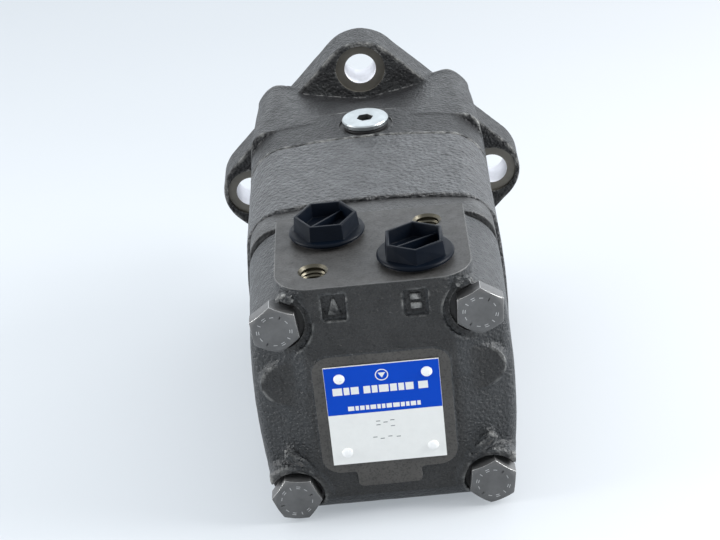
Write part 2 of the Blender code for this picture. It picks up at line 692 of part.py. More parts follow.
def drive_links():
    """The two splined links: rotor to output shaft, and rotor to disc valve."""
    frame = link_frame(SHAFT_SPLINE, ROTOR_SPLINE)
    away = ROTOR_SPLINE - SHAFT_SPLINE
    link = turned("drive_link", [
        (0.0, away - 9), (7.0, away - 9), (10.5, away - 6), (10.5, 7), (7.0, 10), (0.0, 10)],
        "hard_steel", frame, sides=16)
    join(link, prism("link_front_spline", [splined_loop(SPLINE_RADIUS)], -6.0, 6.0, frame=frame),
         prism("link_rear_spline", [splined_loop(SPLINE_RADIUS)], away - 6, away + 6,
               frame=frame))
    frame = link_frame(VALVE_SPLINE, ROTOR_VALVE_SPLINE)
    away = ROTOR_VALVE_SPLINE - VALVE_SPLINE
    link = turned("valve_drive_link", [
        (0.0, -6), (8.0, -6), (9.5, -5), (9.5, away + 4), (8.0, away + 5), (0.0, away + 5)],
        "hard_steel", frame, sides=16)
    join(link, prism("valve_link_near_spline", [splined_loop(SPLINE_RADIUS)], -4.0, 4.0,
                     frame=frame),
         prism("valve_link_far_spline", [splined_loop(SPLINE_RADIUS)], away - 3.5, away + 3.5,
               frame=frame))


def link_spacer():
    """Small disc in the rotor's bore that keeps the two links apart."""
    turned("link_spacer", [(0.0, 85.4), (6.0, 85.4), (6.8, 86.2), (6.8, 87.0), (6.0, 87.8),
                           (0.0, 87.8)], "hard_steel", sides=16)


def disc_valve():
    """Rotary valve that feeds the chambers in step with the rotor."""
    disc = turned("disc_valve", [(0.0, 46.0), (22.0, 46.0), (22.0, 47.5), (30.6, 47.5),
                                 (30.6, COVER_FRONT - HALF_GAP), (0.0, COVER_FRONT - HALF_GAP)],
                  "bronze")
    cut(disc, prism("valve_socket", [splined_loop(SPLINE_RADIUS + SPLINE_PLAY)], 45.0, 59.0))
    for k in range(2 * LOBES):
        x, up = polar(25.4, 30.0 * k + 8.0)
        cut(disc, bar(f"valve_window_{k}", (x, 51.0, up), (x, 59.0, up), 2.3, sides=6))


def balance_ring():
    """Pressure ring and wave washer that hold the disc valve against its plate."""
    turned("balance_ring", [(29.5, 40.0), (29.5, 45.0), (23.0, 45.6), (20.0, 45.6),
                            (20.0, 40.0)], "bronze", ring=True, sides=24)
    turned("balance_spring", [(28.0, 38.6), (28.0, 39.2), (21.0, 39.4), (21.0, 38.8)],
           "bolt_steel", ring=True, sides=24)


def build_motor():
    front_housing()
    wear_plate()
    gear_ring()
    valve_plate()
    rear_cover()
    cover_bolts()
    nameplate()
    port_caps()
    drain_plug()
    body_seal("housing_o_ring", RING_FRONT - HALF_GAP)
    body_seal("ring_o_ring", PLATE_FRONT - 1.6)
    body_seal("cover_o_ring", COVER_FRONT)
    output_shaft()
    shaft_key()
    shaft_nut()
    tapered_bearing("rear", 146.4, 18.6, REAR_JOURNAL_RADIUS, REAR_CUP_RADIUS, -1)
    tapered_bearing("front", 167.9, 16.8, SEAL_LAND_RADIUS, FRONT_CUP_RADIUS, 1)
    shaft_seals()
    gear_set()
    drive_links()
    link_spacer()
    disc_valve()
    balance_ring()


build_motor()
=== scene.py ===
"""Looks of the hydraulic motor: rough castings, machined faces, bolts, caps and nameplate.

Inside this script a place is (x, station, up) in millimetres. The station runs along the
motor's axis from the tops of the cover bolts towards the shaft end, and x and up are
measured from the axis. Meshes are made in metres, in the frame of the CAD model.
"""
import json
import math

import bmesh
import bpy
import numpy as np
from mathutils import Matrix, Vector


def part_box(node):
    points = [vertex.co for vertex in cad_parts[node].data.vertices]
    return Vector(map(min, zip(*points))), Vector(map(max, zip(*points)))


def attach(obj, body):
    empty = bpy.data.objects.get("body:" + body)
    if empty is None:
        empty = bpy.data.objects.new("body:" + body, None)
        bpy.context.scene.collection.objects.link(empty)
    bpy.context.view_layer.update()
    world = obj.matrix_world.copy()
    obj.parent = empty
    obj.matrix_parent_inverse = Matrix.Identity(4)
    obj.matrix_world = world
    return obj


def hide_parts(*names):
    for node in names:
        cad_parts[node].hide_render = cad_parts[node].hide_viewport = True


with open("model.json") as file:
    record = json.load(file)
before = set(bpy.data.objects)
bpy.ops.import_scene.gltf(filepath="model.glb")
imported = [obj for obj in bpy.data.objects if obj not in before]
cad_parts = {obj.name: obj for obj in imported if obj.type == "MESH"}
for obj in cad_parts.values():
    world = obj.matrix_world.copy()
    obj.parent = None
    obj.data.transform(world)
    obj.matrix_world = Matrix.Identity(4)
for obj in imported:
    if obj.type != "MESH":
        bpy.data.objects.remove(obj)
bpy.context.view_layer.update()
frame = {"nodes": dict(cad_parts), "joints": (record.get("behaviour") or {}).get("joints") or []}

MM = 0.001
AXIS_UP = next(j for j in frame["joints"] if j["name"] == "shaft_spin")["pos_m"][2]
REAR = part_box("cover_bolt_1")[0].y
ORIGIN = Vector((0.0, REAR, AXIS_UP))
CAST_STEP, FINE_STEP = 1.0, 0.8      # cells of the casting meshes, in millimetres


def station_of(y):
    return (y - REAR) / MM


def middle_of(name):
    """(x, station, up) of the middle of one CAD piece."""
    x, y, z = [sum(pair) / 2 for pair in zip(*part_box(name))]
    return x / MM, station_of(y), (z - AXIS_UP) / MM


# Stations of the joints, and sizes and places read from the CAD pieces
COVER_FRONT = station_of(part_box("rear_cover")[1].y)
PLATE_REAR, PLATE_FRONT = [station_of(p.y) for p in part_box("valve_plate")]
RING_REAR, RING_FRONT = [station_of(p.y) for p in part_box("gear_ring")]
HOUSING_REAR, PILOT_FACE = [station_of(p.y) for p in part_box("front_housing")]
LENGTH = station_of(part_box("output_shaft")[1].y)
LOBE_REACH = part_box("front_housing")[1].x / MM
BODY_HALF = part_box("gear_ring")[1].x / MM
COVER_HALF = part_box("rear_cover")[1].x / MM
PAD_TOP = (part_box("rear_cover")[1].z - AXIS_UP) / MM
BOLT_OFFSET = middle_of("cover_bolt_2")[0]
PORTS = {k: middle_of(f"port_cap_{k}")[:2] for k in "ab"}
DRAIN = middle_of("drain_plug")[:2]
RIVETS = [middle_of(f"nameplate_rivet_{k}")[::2] for k in (1, 2, 3, 4)]

# Sizes that the CAD pieces share
FLANGE_BACK = 186.5
SPOTFACE, SPOTFACE_START = 187.5, 175.0
FLANGE_FACE = 203.5
SHOULDER = 143.0
BAND_END = 151.0
REAR_FACE = 2.3
REAR_SKIN = 2.9      # the rough rear face lies a little deeper than its nominal plane
BOLT_SEAT = 6.4
BOLT_BORE = 5.5
RIVET_BORE = 1.4
LUG_CORNER = 5.0
SIDE_CROWN_RADIUS = 280.0
CORNER_RADIUS = 12.0
HOLE_CIRCLE_RADIUS = 53.2
HOLE_RADIUS = 6.75
SPOTFACE_RADIUS = 10.5
LOBE_NOSE_RADIUS = 17.9
PILOT_RADIUS = 41.25
PAD_HALF_WIDTH, PAD_CORNER = 34.5, 12.5
PAD_THREADS = ((-20.9, 15.3), (20.7, 46.0))
NAMEPLATE_PAD = 1.7
TOP_SEAT_RADIUS = 12.9
LOWER_SEAT_RADIUS = 10.2
SIDE_SLOPE_START = 25.5
SIDE_SLOPE = 0.36
SIDE_BOSS = (35.3, 10.5, 8.6)    # x, up and radius
MARKER_SQUARES = ((-14.6, 41.8), (14.0, 40.9))
DRAIN_SEAT = 50.5
SHAFT_RADIUS, LAND_RADIUS = 16.0, 17.5
KEY_HALF_WIDTH, KEY_FOOT = 5.0, 10.85
SIDES = ((0, 1), (1, 0), (0, -1), (-1, 0))
HOLES = [(x * HOLE_CIRCLE_RADIUS, up * HOLE_CIRCLE_RADIUS) for x, up in SIDES]
BOLTS = [(x * BOLT_OFFSET, up * BOLT_OFFSET) for x, up in ((-1, 1), (1, 1), (1, -1), (-1, -1))]

# How far some pieces are turned about their own axis, in degrees
BOLT_TURNS = (36.0, 27.0, 22.0, -7.0)
CAP_TURNS = {"a": 30.0, "b": 0.0}
WEB_TURNS = {"a": 53.0, "b": 36.0}


# ---------------------------------------------------------------- solid fields
# A field is negative inside its solid. Its value is close to the distance in millimetres.

def round_union(a, b, radius):
    """Both solids, with a fillet of that radius where they meet."""
    corner = np.hypot(np.maximum(radius - a, 0), np.maximum(radius - b, 0))
    return np.maximum(radius, np.minimum(a, b)) - corner


def round_common(a, b, radius):
    """What both solids share, with its edge rounded to that radius."""
    corner = np.hypot(np.maximum(radius + a, 0), np.maximum(radius + b, 0))
    return np.minimum(-radius, np.maximum(a, b)) + corner


def round_cut(a, b, radius):
    return round_common(a, -b, radius)


def between(value, low, high):
    return np.maximum(low - value, value - high)


def crowned_square(x, up, half, corner=CORNER_RADIUS):
    """The body's section: slightly crowned sides with round corners."""
    back = SIDE_CROWN_RADIUS - half
    sides = [np.hypot(np.abs(u) + back, v) - SIDE_CROWN_RADIUS for u, v in ((x, up), (up, x))]
    return round_common(*sides, corner)


def flange_section(x, up):
    """Four round lobes joined by straight tangents."""
    centre = (LOBE_REACH - LOBE_NOSE_RADIUS) / math.sqrt(2)
    u = np.abs(x + up) / math.sqrt(2) - centre
    v = np.abs(x - up) / math.sqrt(2) - centre
    outside = np.hypot(np.maximum(u, 0), np.maximum(v, 0))
    return outside + np.minimum(np.maximum(u, v), 0) - LOBE_NOSE_RADIUS


def rounded_box(u, v, half_u, half_v, radius):
    u, v = np.abs(u) - half_u + radius, np.abs(v) - half_v + radius
    outside = np.hypot(np.maximum(u, 0), np.maximum(v, 0))
    return outside + np.minimum(np.maximum(u, v), 0) - radius


def cast_skin(x, s, up, depth=0.16):
    """Slow unevenness of a sand-cast surface, as a sum of slanting waves."""
    total = 0.0
    for k in range(7):
        angle = 1.1 + 2.399 * k
        lean = 0.9 * math.sin(1.7 * k + 0.4)
        pitch = 0.9 / (1.0 + 0.16 * k)
        total = total + np.sin((x * math.cos(angle) + up * math.sin(angle) + s * lean) * pitch + k)
    return total * depth / 7


def scoop_floor(across, run):
    """Height of the shallow valley between two lugs; run is 0 at its start and 1 at the flange."""
    return BODY_HALF + 0.2 - run * (10.2 - 0.215 * (np.hypot(across, 6.0) - 6.0))


def housing_field(x, s, up):
    """Band, lugs with a scoop on each side, flange and the rough pilot."""
    band = round_common(crowned_square(x, up, BODY_HALF), between(s, HOUSING_REAR, BAND_END), 0.6)
    run = np.clip((s - SHOULDER) / (FLANGE_BACK - SHOULDER), 0, 1.1)
    lugs = crowned_square(x, up, BODY_HALF + 0.4 - 1.3 * run, LUG_CORNER + 4.5 * run)
    for across, height in ((x, np.abs(up)), (up, np.abs(x))):
        lugs = round_common(lugs, height - scoop_floor(across, run), 1.2)
    body = round_union(band, round_common(lugs, between(s, SHOULDER, 196.0), 0.8), 0.3)
    flange = round_common(flange_section(x, up) + 0.25,
                          between(s, FLANGE_BACK, FLANGE_FACE + 1.2), 1.0)
    body = round_union(body, flange, 1.0)
    pilot = np.maximum(np.hypot(x, up) - PILOT_RADIUS - 0.8, between(s, 190.0, PILOT_FACE + 0.8))
    body = np.minimum(body, pilot)
    return body + cast_skin(x, s, up, 0.12)


def ring_field(x, s, up):
    section = crowned_square(x, up, BODY_HALF - 0.1)
    return round_common(section, between(s, RING_REAR, RING_FRONT), 0.8) + cast_skin(x, s, up, 0.12)


def cover_field(x, s, up):
    """Rear cover: tapered body with sloped sides, port pad, bosses and nameplate pad."""
    side = np.abs(x)
    taper = 0.965 + 0.035 * np.clip(s / 55.0, 0, 1)
    body = crowned_square(x / taper, up / taper, COVER_HALF)
    slope = SIDE_SLOPE * (np.hypot(np.maximum(side - SIDE_SLOPE_START, 0), 1.5) - 1.5)
    rear = (REAR_SKIN + slope - s) / math.hypot(1.0, SIDE_SLOPE)
    body = round_common(body, np.maximum(rear, s - COVER_FRONT), 3.2)
    middle = 30.0
    rear_half = rounded_box(x, s - middle, PAD_HALF_WIDTH, middle - REAR_FACE, PAD_CORNER)
    front_half = np.maximum(side - PAD_HALF_WIDTH, s - COVER_FRONT)
    pad_plan = np.where(s > middle, front_half, rear_half)
    body = round_union(body, np.maximum(pad_plan, between(up, 10.0, PAD_TOP + 1.0)), 1.6)
    body = round_union(body, rear_bosses(x, s, up), 1.7)
    foot_s, foot_up = 16.0, -34.0      # centre of the curve that rounds the cover's lower edge
    under = (np.hypot((s - foot_s) / 13.7, (up - foot_up) / 13.0) - 1.0) * 13.0
    body = np.where((s < foot_s) & (up < foot_up), np.maximum(body, under), body)
    return rear_recesses(body, x, s, up) + cast_skin(x, s, up, 0.1)


def rear_bosses(x, s, up):
    """Flat round bosses on both sides, rims round the lower bolts and a rough ridge above each."""
    side = np.abs(x)
    boss_x, boss_up, radius = SIDE_BOSS
    level = REAR_SKIN + SIDE_SLOPE * (boss_x - 2.0 - SIDE_SLOPE_START)
    round_boss = round_common(np.hypot(side - boss_x, up - boss_up) - radius,
                              between(s, level, 12.0), 0.5)
    from_bolt = np.hypot(side - BOLT_OFFSET, up + BOLT_OFFSET)
    rim = round_common(from_bolt - 13.2, between(s, REAR_FACE + 0.2, 12.0), 1.6)
    ridge_side, ridge_up, run = 29.6, -25.0, 6.7
    u, v = side - ridge_side, up - ridge_up
    along = run * np.clip((u + v) / 2 / run, 0, 1)
    ridge = np.hypot(np.hypot(u - along, v - along), s - 4.2) - 2.4
    ridge = ridge + 0.35 * np.sin(2.6 * x + 1.0) * np.sin(3.1 * up) + 0.25 * np.sin(3.9 * s + x)
    inside = crowned_square(x, up, COVER_HALF * 0.955)
    return np.maximum(np.minimum(np.minimum(round_boss, rim), ridge), inside)


def rear_recesses(body, x, s, up):
    """Nameplate pad with its tab and flash, marker squares, bolt scallops and lumps beside them."""
    side = np.abs(x)
    pad = rounded_box(x + 0.5, up + 2.1, 24.5, 24.4, 6.5)
    tab = rounded_box(x + 1.1, up + 27.0, 11.7, 6.2, 2.0)
    outline = round_union(pad, tab, 1.5)
    body = round_union(body, np.maximum(outline, between(s, NAMEPLATE_PAD - 0.5, 8.0)), 0.4)
    flash = np.hypot(up - 24.4 - 0.15 * np.sin(2.1 * x), s - REAR_SKIN + 0.1)
    flash = flash - 0.5 - 0.16 * np.sin(3.7 * x + 1.0) - 0.12 * np.sin(7.9 * x)
    body = round_union(body, np.maximum(flash, side - 20.8), 0.5)
    for centre_x, centre_up in MARKER_SQUARES:
        square = rounded_box(x - centre_x, up - centre_up, 4.3, 5.0, 0.8)
        body = round_cut(body, np.maximum(square, s - REAR_SKIN - 0.9), 0.25)
    for sign, radius, floor in ((1, TOP_SEAT_RADIUS, 4.6), (-1, LOWER_SEAT_RADIUS, BOLT_SEAT)):
        from_bolt = np.hypot(side - BOLT_OFFSET, sign * up - BOLT_OFFSET)
        body = round_cut(body, np.maximum(from_bolt - radius, s - floor), 0.7)
    nub = np.hypot(np.hypot(0.62 * (side - 30.6), up - 46.6), s - 4.0) - 2.1
    nub = nub + 0.4 * np.sin(2.3 * x + 1.0) * np.sin(2.9 * up) + 0.3 * np.sin(3.7 * s + x)
    return round_union(body, nub, 0.6)


def mesh_of_field(field, low, high, step):
    """Mesh the zero surface of a field: one vertex in each cell it crosses, moved onto it."""
    axes = [np.arange(a - 2 * step, b + 3 * step, step) for a, b in zip(low, high)]
    value = field(*np.meshgrid(*axes, indexing="ij")).astype(np.float32)
    inside = value < 0
    cells = [n - 1 for n in value.shape]
    corner = [(i, j, k) for i in (0, 1) for j in (0, 1) for k in (0, 1)]

    def shifted(data, at):
        return data[tuple(slice(o, o + n) for o, n in zip(at, cells))]

    filled = sum(shifted(inside, c).astype(np.int8) for c in corner)
    mixed = (filled > 0) & (filled < 8)
    number = np.full(mixed.shape, -1, np.int64)
    number[mixed] = np.arange(mixed.sum())
    places = np.argwhere(mixed)
    total, hits = np.zeros((len(places), 3)), np.zeros(len(places))
    for a in corner:
        for axis in range(3):
            if a[axis]:
                continue
            b = tuple(v + (i == axis) for i, v in enumerate(a))
            va, vb = shifted(value, a)[mixed], shifted(value, b)[mixed]
            cross = (va < 0) != (vb < 0)
            t = np.where(cross, va / np.where(cross, va - vb, 1), 0)
            spot = (places + np.array(a)).astype(float)
            spot[:, axis] += t
            total[cross] += spot[cross]
            hits += cross
    points = total / hits[:, None] * step + np.array([a[0] for a in axes])
    for _ in range(3):
        points = onto_surface(field, points)
    quads = []
    for axis in range(3):
        u, v = [(1, 2), (2, 0), (0, 1)][axis]
        change = np.diff(inside.astype(np.int8), axis=axis)
        at = np.argwhere(change != 0)
        at = at[(at[:, u] > 0) & (at[:, v] > 0)
                & (at[:, u] < value.shape[u] - 1) & (at[:, v] < value.shape[v] - 1)]
        rising = change[tuple(at.T)] > 0
        ring = []
        for du, dv in ((0, 0), (1, 0), (1, 1), (0, 1)):
            cell = at.copy()
            cell[:, u] -= du
            cell[:, v] -= dv
            ring.append(number[tuple(cell.T)])
        quad = np.stack(ring, 1)
        quad[rising] = quad[rising][:, ::-1]
        quads.append(quad)
    mesh = bpy.data.meshes.new("casting")
    world = points * MM + np.array(ORIGIN)
    mesh.from_pydata(world.tolist(), [], np.concatenate(quads).tolist())
    mesh.validate()
    mesh.shade_smooth()
    return mesh


def onto_surface(field, points, reach=0.02):
    """One step of every point along the field's slope, onto its zero surface."""
    slope = np.zeros_like(points)
    for axis in range(3):
        for sign in (-1, 1):
            moved = points.copy()
            moved[:, axis] += sign * reach
            slope[:, axis] += sign * field(*moved.T) / (2 * reach)
    value = field(*points.T)
    size = np.maximum((slope ** 2).sum(1), 0.25)
    return points - np.clip(value / size, -0.6, 0.6)[:, None] * slope


# ---------------------------------------------------------------- plain shapes
def place(x, s, up):
    return Vector((x, s, up)) * MM + ORIGIN


def painted(mesh, material):
    mesh.materials.append(material)
    return mesh


def linked(name, data):
    made = bpy.data.objects.new(name, data)
    bpy.context.scene.collection.objects.link(made)
    return made


def add(name, mesh, material, body="root"):
    """New piece of one material, riding on a body."""
    made = linked(name, painted(mesh, material))
    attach(made, body)
    return made


def finished(build, sharp=32):
    bmesh.ops.recalc_face_normals(build, faces=build.faces)
    mesh = bpy.data.meshes.new("shape")
    build.to_mesh(mesh)
    build.free()
    mesh.shade_smooth()
    mesh.set_sharp_from_angle(angle=math.radians(sharp))
    return mesh


def spun(places, foot, axis, steps, ring):
    """Mesh of a row of places turned about an axis; a ring's last place joins its first."""
    build = bmesh.new()
    verts = [build.verts.new(place(*p)) for p in places]
    edges = [build.edges.new(pair) for pair in zip(verts, verts[1:])]
    if ring:
        edges.append(build.edges.new((verts[-1], verts[0])))
    bmesh.ops.spin(build, geom=verts + edges, cent=place(*foot), axis=axis,
                   angle=2 * math.pi, steps=steps, use_merge=True)
    bmesh.ops.remove_doubles(build, verts=build.verts, dist=0.000002)
    return finished(build)


def lathe(profile, steps, ring=False, centre=(0.0, 0.0)):
    """Mesh of (radius, station) points turned about a line along the motor's axis."""
    x, up = centre
    return spun([(x + r, s, up) for r, s in profile], (x, 0, up), (0, 1, 0), steps, ring)


def upright(profile, centre, steps, ring=False):
    """Mesh of (radius, height) points turned about an upright line at (x, station)."""
    x, s = centre
    return spun([(x + r, s, height) for r, height in profile], (x, s, 0), (0, 0, 1), steps, ring)


def extruded(places, shift):
    build = bmesh.new()
    face = build.faces.new([build.verts.new(place(*p)) for p in places])
    grown = bmesh.ops.extrude_face_region(build, geom=[face])["geom"]
    moved = [v for v in grown if isinstance(v, bmesh.types.BMVert)]
    bmesh.ops.translate(build, verts=moved, vec=Vector(shift) * MM)
    return finished(build)


def prism(loop, start, end):
    """Mesh of one (x, up) outline between two stations."""
    return extruded([(x, start, up) for x, up in loop], (0, end - start, 0))


def slab(loop, low, high):
    """Mesh of one (x, station) outline between two heights."""
    return extruded([(x, s, low) for x, s in loop], (0, 0, high - low))


def bead(places, radius, seed):
    """Mesh of a thin uneven bead of iron along a line of places."""
    points = [Vector(p) for p in places]
    run = []
    for a, b in zip(points, points[1:]):
        count = max(1, round((b - a).length / 0.45))
        run += [a.lerp(b, i / count) for i in range(count)]
    run.append(points[-1])
    build, rings = bmesh.new(), []
    for i, point in enumerate(run):
        ahead = (run[min(i + 1, len(run) - 1)] - run[max(i - 1, 0)]).normalized()
        side = ahead.cross(Vector((0.3, 0.5, 0.81))).normalized()
        over = ahead.cross(side)
        size = 0.25 if i in (0, len(run) - 1) else (
            0.95 + 0.25 * math.sin(0.55 * i + seed) * math.sin(0.21 * i + 2 * seed)
            + 0.1 * math.sin(1.3 * i + seed))
        rings.append([build.verts.new(place(*(point + radius * size * (
            side * math.cos(k * math.pi / 3) + over * math.sin(k * math.pi / 3)))))
            for k in range(6)])
    for first, last in zip(rings, rings[1:]):
        for k in range(6):
            build.faces.new((first[k], first[(k + 1) % 6], last[(k + 1) % 6], last[k]))
    build.faces.new(rings[0])
    build.faces.new(rings[-1])
    return finished(build, 60)


def polar(centre, radius, angle):
    """Point at an angle in degrees on a circle."""
    turn = math.radians(angle)
    return centre[0] + radius * math.cos(turn), centre[1] + radius * math.sin(turn)


def arc(centre, radius, start, end, steps):
    return [polar(centre, radius, start + (end - start) * i / steps) for i in range(steps + 1)]


def hexagon(centre, corner, turn):
    """Outline of a hexagon, turned so that one corner points that way (degrees)."""
    return [polar(centre, corner, turn + 60 * k) for k in range(6)]


def box_loop(left, right, bottom, top):
    return [(left, bottom), (right, bottom), (right, top), (left, top)]


def body_loop(half):
    """Outline of the body's section, as points."""
    back = SIDE_CROWN_RADIUS - half
    reach = SIDE_CROWN_RADIUS - CORNER_RADIUS
    corner = (math.sqrt(2 * reach ** 2 - back ** 2) - back) / 2
    end = math.degrees(math.atan2(corner, corner + back))
    side = arc((-back, 0.0), SIDE_CROWN_RADIUS, -end, end, 24)
    bend = arc((corner, corner), CORNER_RADIUS, end, 90.0 - end, 12)
    quarter = side[:-1] + bend[:-1]
    loop = []
    for c, s in ((1, 0), (0, 1), (-1, 0), (0, -1)):
        loop += [(x * c - y * s, x * s + y * c) for x, y in quarter]
    return loop


def bake_modifiers(piece, sharp):
    """Keep what the modifiers make, smooth but for edges sharper than that angle (degrees)."""
    seen = piece.evaluated_get(bpy.context.evaluated_depsgraph_get())
    mesh = bpy.data.meshes.new_from_object(seen)
    piece.modifiers.clear()
    old = piece.data
    piece.data = mesh
    bpy.data.meshes.remove(old)
    mesh.shade_smooth()
    mesh.set_sharp_from_angle(angle=math.radians(sharp))


def boolean(piece, operation, mesh):
    """Apply one exact Boolean, whose new faces get the tool's material."""
    tool = linked("tool", mesh)
    step = piece.modifiers.new("cut", "BOOLEAN")
    step.operation = operation
    step.solver = "EXACT"
    step.material_mode = "TRANSFER"
    step.object = tool
    bake_modifiers(piece, 34)
    bpy.data.objects.remove(tool, do_unlink=True)


def cut(piece, material, *tools):
    """Take the tools away from a piece; the faces they leave get that material."""
    boolean(piece, "DIFFERENCE", painted(merged(tools), material))


def bevel(piece, width, segments=2, angle=30, edge_material=None, sharp=40):
    step = piece.modifiers.new("edge", "BEVEL")
    if edge_material:
        piece.data.materials.append(edge_material)
        step.material = len(piece.data.materials) - 1
    step.width = width * MM
    step.segments = segments
    step.limit_method = "ANGLE"
    step.angle_limit = math.radians(angle)
    bake_modifiers(piece, sharp)


def merged(meshes):
    """One mesh that holds several separate solids."""
    build = bmesh.new()
    for mesh in meshes:
        build.from_mesh(mesh)
        bpy.data.meshes.remove(mesh)
    made = bpy.data.meshes.new("shape")
    build.to_mesh(made)
    build.free()
    return made


def hole(centre, radius, start, end, flare=0.0):
    """Cutter for a round hole along the axis, flared where it meets the face at its end."""
    profile = [(0, start), (radius, start), (radius, end - flare)]
    if flare:
        profile.append((radius + flare, end))
        end += 3.0
        profile.append((radius + flare, end))
    return lathe(profile + [(0, end)], 48, centre=centre)


def drilled(spots, *sizes):
    """Cutters for equal holes along the axis, one at each (x, up) spot."""
    return [hole(spot, *sizes) for spot in spots]


# ---------------------------------------------------------------- materials
def new_material(name):
    made = bpy.data.materials.new(name)
    made.use_nodes = True
    return made, made.node_tree, made.node_tree.nodes["Principled BSDF"]


def node(tree, kind, **settings):
    made = tree.nodes.new(kind)
    for key, value in settings.items():
        setattr(made, key, value)
    return made


def link(source, target):
    target.id_data.links.new(source, target)


def noise(tree, scale, detail=3.0, rough=0.55, stretch=(1, 1, 1)):
    where = node(tree, "ShaderNodeTexCoord")
    space = node(tree, "ShaderNodeMapping")
    space.inputs["Scale"].default_value = stretch
    link(where.outputs["Object"], space.inputs["Vector"])
    made = node(tree, "ShaderNodeTexNoise")
    made.inputs["Scale"].default_value = scale
    made.inputs["Detail"].default_value = detail
    made.inputs["Roughness"].default_value = rough
    link(space.outputs["Vector"], made.inputs["Vector"])
    return made.outputs["Fac"]


def pebbles(tree, scale):
    where = node(tree, "ShaderNodeTexCoord")
    made = node(tree, "ShaderNodeTexVoronoi", feature="SMOOTH_F1")
    made.inputs["Scale"].default_value = scale
    made.inputs["Smoothness"].default_value = 0.8
    link(where.outputs["Object"], made.inputs["Vector"])
    return made.outputs["Distance"]


def ramp(tree, source, low, high, first, last):
    """Blend two colours (or greys) as the source goes from low to high."""
    made = node(tree, "ShaderNodeValToRGB")
    for stop, at, colour in zip(made.color_ramp.elements, (low, high), (first, last)):
        stop.position = at
        stop.color = (*colour, 1.0) if isinstance(colour, tuple) else (colour,) * 3 + (1.0,)
    link(source, made.inputs["Fac"])
    return made.outputs["Color"]


def blend(tree, amount, first, second, kind="MIX"):
    """Blend two colours by an amount; each of the three is a socket or a plain value."""
    made = node(tree, "ShaderNodeMix", data_type="RGBA", blend_type=kind)
    colours = [i for i in made.inputs if i.type == "RGBA"]
    for target, value in ((made.inputs["Factor"], amount), *zip(colours, (first, second))):
        if isinstance(value, tuple):
            target.default_value = (*value, 1.0)
        elif isinstance(value, float):
            target.default_value = value
        else:
            link(value, target)
    return next(o for o in made.outputs if o.type == "RGBA")


def bump(tree, shader, layers):
    """Stack bump layers of (height source, depth in millimetres, strength)."""
    last = None
    for source, depth, strength in layers:
        made = node(tree, "ShaderNodeBump")
        made.inputs["Distance"].default_value = depth * MM
        made.inputs["Strength"].default_value = strength
        link(source, made.inputs["Height"])
        if last:
            link(last, made.inputs["Normal"])
        last = made.outputs["Normal"]
    link(last, shader.inputs["Normal"])


def edge_mask(tree):
    """White along convex edges, broken up by noise."""
    shape = node(tree, "ShaderNodeNewGeometry")
    sharp = ramp(tree, shape.outputs["Pointiness"], 0.515, 0.575, 0.0, 1.0)
    broken = ramp(tree, noise(tree, 260.0, 4.0), 0.40, 0.62, 0.0, 1.0)
    made = node(tree, "ShaderNodeMath", operation="MULTIPLY")
    link(sharp, made.inputs[0])
    link(broken, made.inputs[1])
    return made.outputs[0]


def facing_aside(tree):
    """0 where a surface faces straight back, and 1 where it slopes away."""
    shape = node(tree, "ShaderNodeNewGeometry")
    toward = node(tree, "ShaderNodeVectorMath", operation="DOT_PRODUCT")
    toward.inputs[1].default_value = (0.0, -1.0, 0.0)
    link(shape.outputs["True Normal"], toward.inputs[0])
    return ramp(tree, toward.outputs["Value"], 0.93, 0.985, 1.0, 0.0)


def cast_paint(name, grain, depth, dark, light, rough=(0.33, 0.50),
               wear_and_highlight_tone=(0.24, 0.24, 0.23), gloss=0.5, painted_aside_light=None):
    """Dark grey satin paint over rough cast iron, lighter along its convex edges: partly rubbed
    wear, partly a painted highlight.

    Surfaces that don't face straight back take a lighter, bluish tone: painted light, for the light
    that falls on faces turned up and aside.
    """
    made, tree, shader = new_material(name)
    tone = ramp(tree, noise(tree, 130.0, 6.0), 0.35, 0.65, dark, light)
    # Painted light: faces that slope away from the back blend into the lighter, bluish tone.
    if painted_aside_light:
        tone = blend(tree, facing_aside(tree), tone, painted_aside_light)
    pits = ramp(tree, noise(tree, grain * 1.6, 3.0), 0.36, 0.50, 0.55, 1.0)
    tone = blend(tree, 1.0, tone, pits, "MULTIPLY")
    # Convex edges take a lighter tone: rubbed wear together with a painted highlight.
    if wear_and_highlight_tone:
        tone = blend(tree, edge_mask(tree), tone, wear_and_highlight_tone)
    link(tone, shader.inputs["Base Color"])
    link(ramp(tree, noise(tree, 300.0, 5.0), 0.3, 0.7, *rough), shader.inputs["Roughness"])
    shader.inputs["Specular IOR Level"].default_value = gloss
    bump(tree, shader, [(noise(tree, grain, 3.0, 0.6), depth, 1.0),
                        (pebbles(tree, grain * 1.25), depth * 0.8, 1.0),
                        (noise(tree, grain * 3.1, 3.0), depth * 0.35, 1.0)])
    return made


def ground_metal(name, colour, rough, grain, stretch=(1, 1, 1), metallic=1.0):
    """Metal with fine tool marks and uneven gloss."""
    made, tree, shader = new_material(name)
    dim = tuple(c * 0.78 for c in colour)
    link(ramp(tree, noise(tree, 140.0, 5.0), 0.35, 0.7, dim, colour), shader.inputs["Base Color"])
    link(ramp(tree, noise(tree, grain, 4.0, 0.6, stretch), 0.3, 0.7, *rough),
         shader.inputs["Roughness"])
    shader.inputs["Metallic"].default_value = metallic
    bump(tree, shader, [(noise(tree, grain, 4.0, 0.6, stretch), 0.04, 0.5)])
    return made


def soft_plastic(name, colour, rough, grain=1200.0, gloss=0.3):
    made, tree, shader = new_material(name)
    bright = tuple(c * 1.4 for c in colour)
    link(ramp(tree, noise(tree, 120.0, 3.0), 0.3, 0.7, colour, bright), shader.inputs["Base Color"])
    link(ramp(tree, noise(tree, 300.0, 3.0), 0.3, 0.7, *rough), shader.inputs["Roughness"])
    shader.inputs["Specular IOR Level"].default_value = gloss
    bump(tree, shader, [(noise(tree, grain, 2.0), 0.03, 0.4)])
    return made


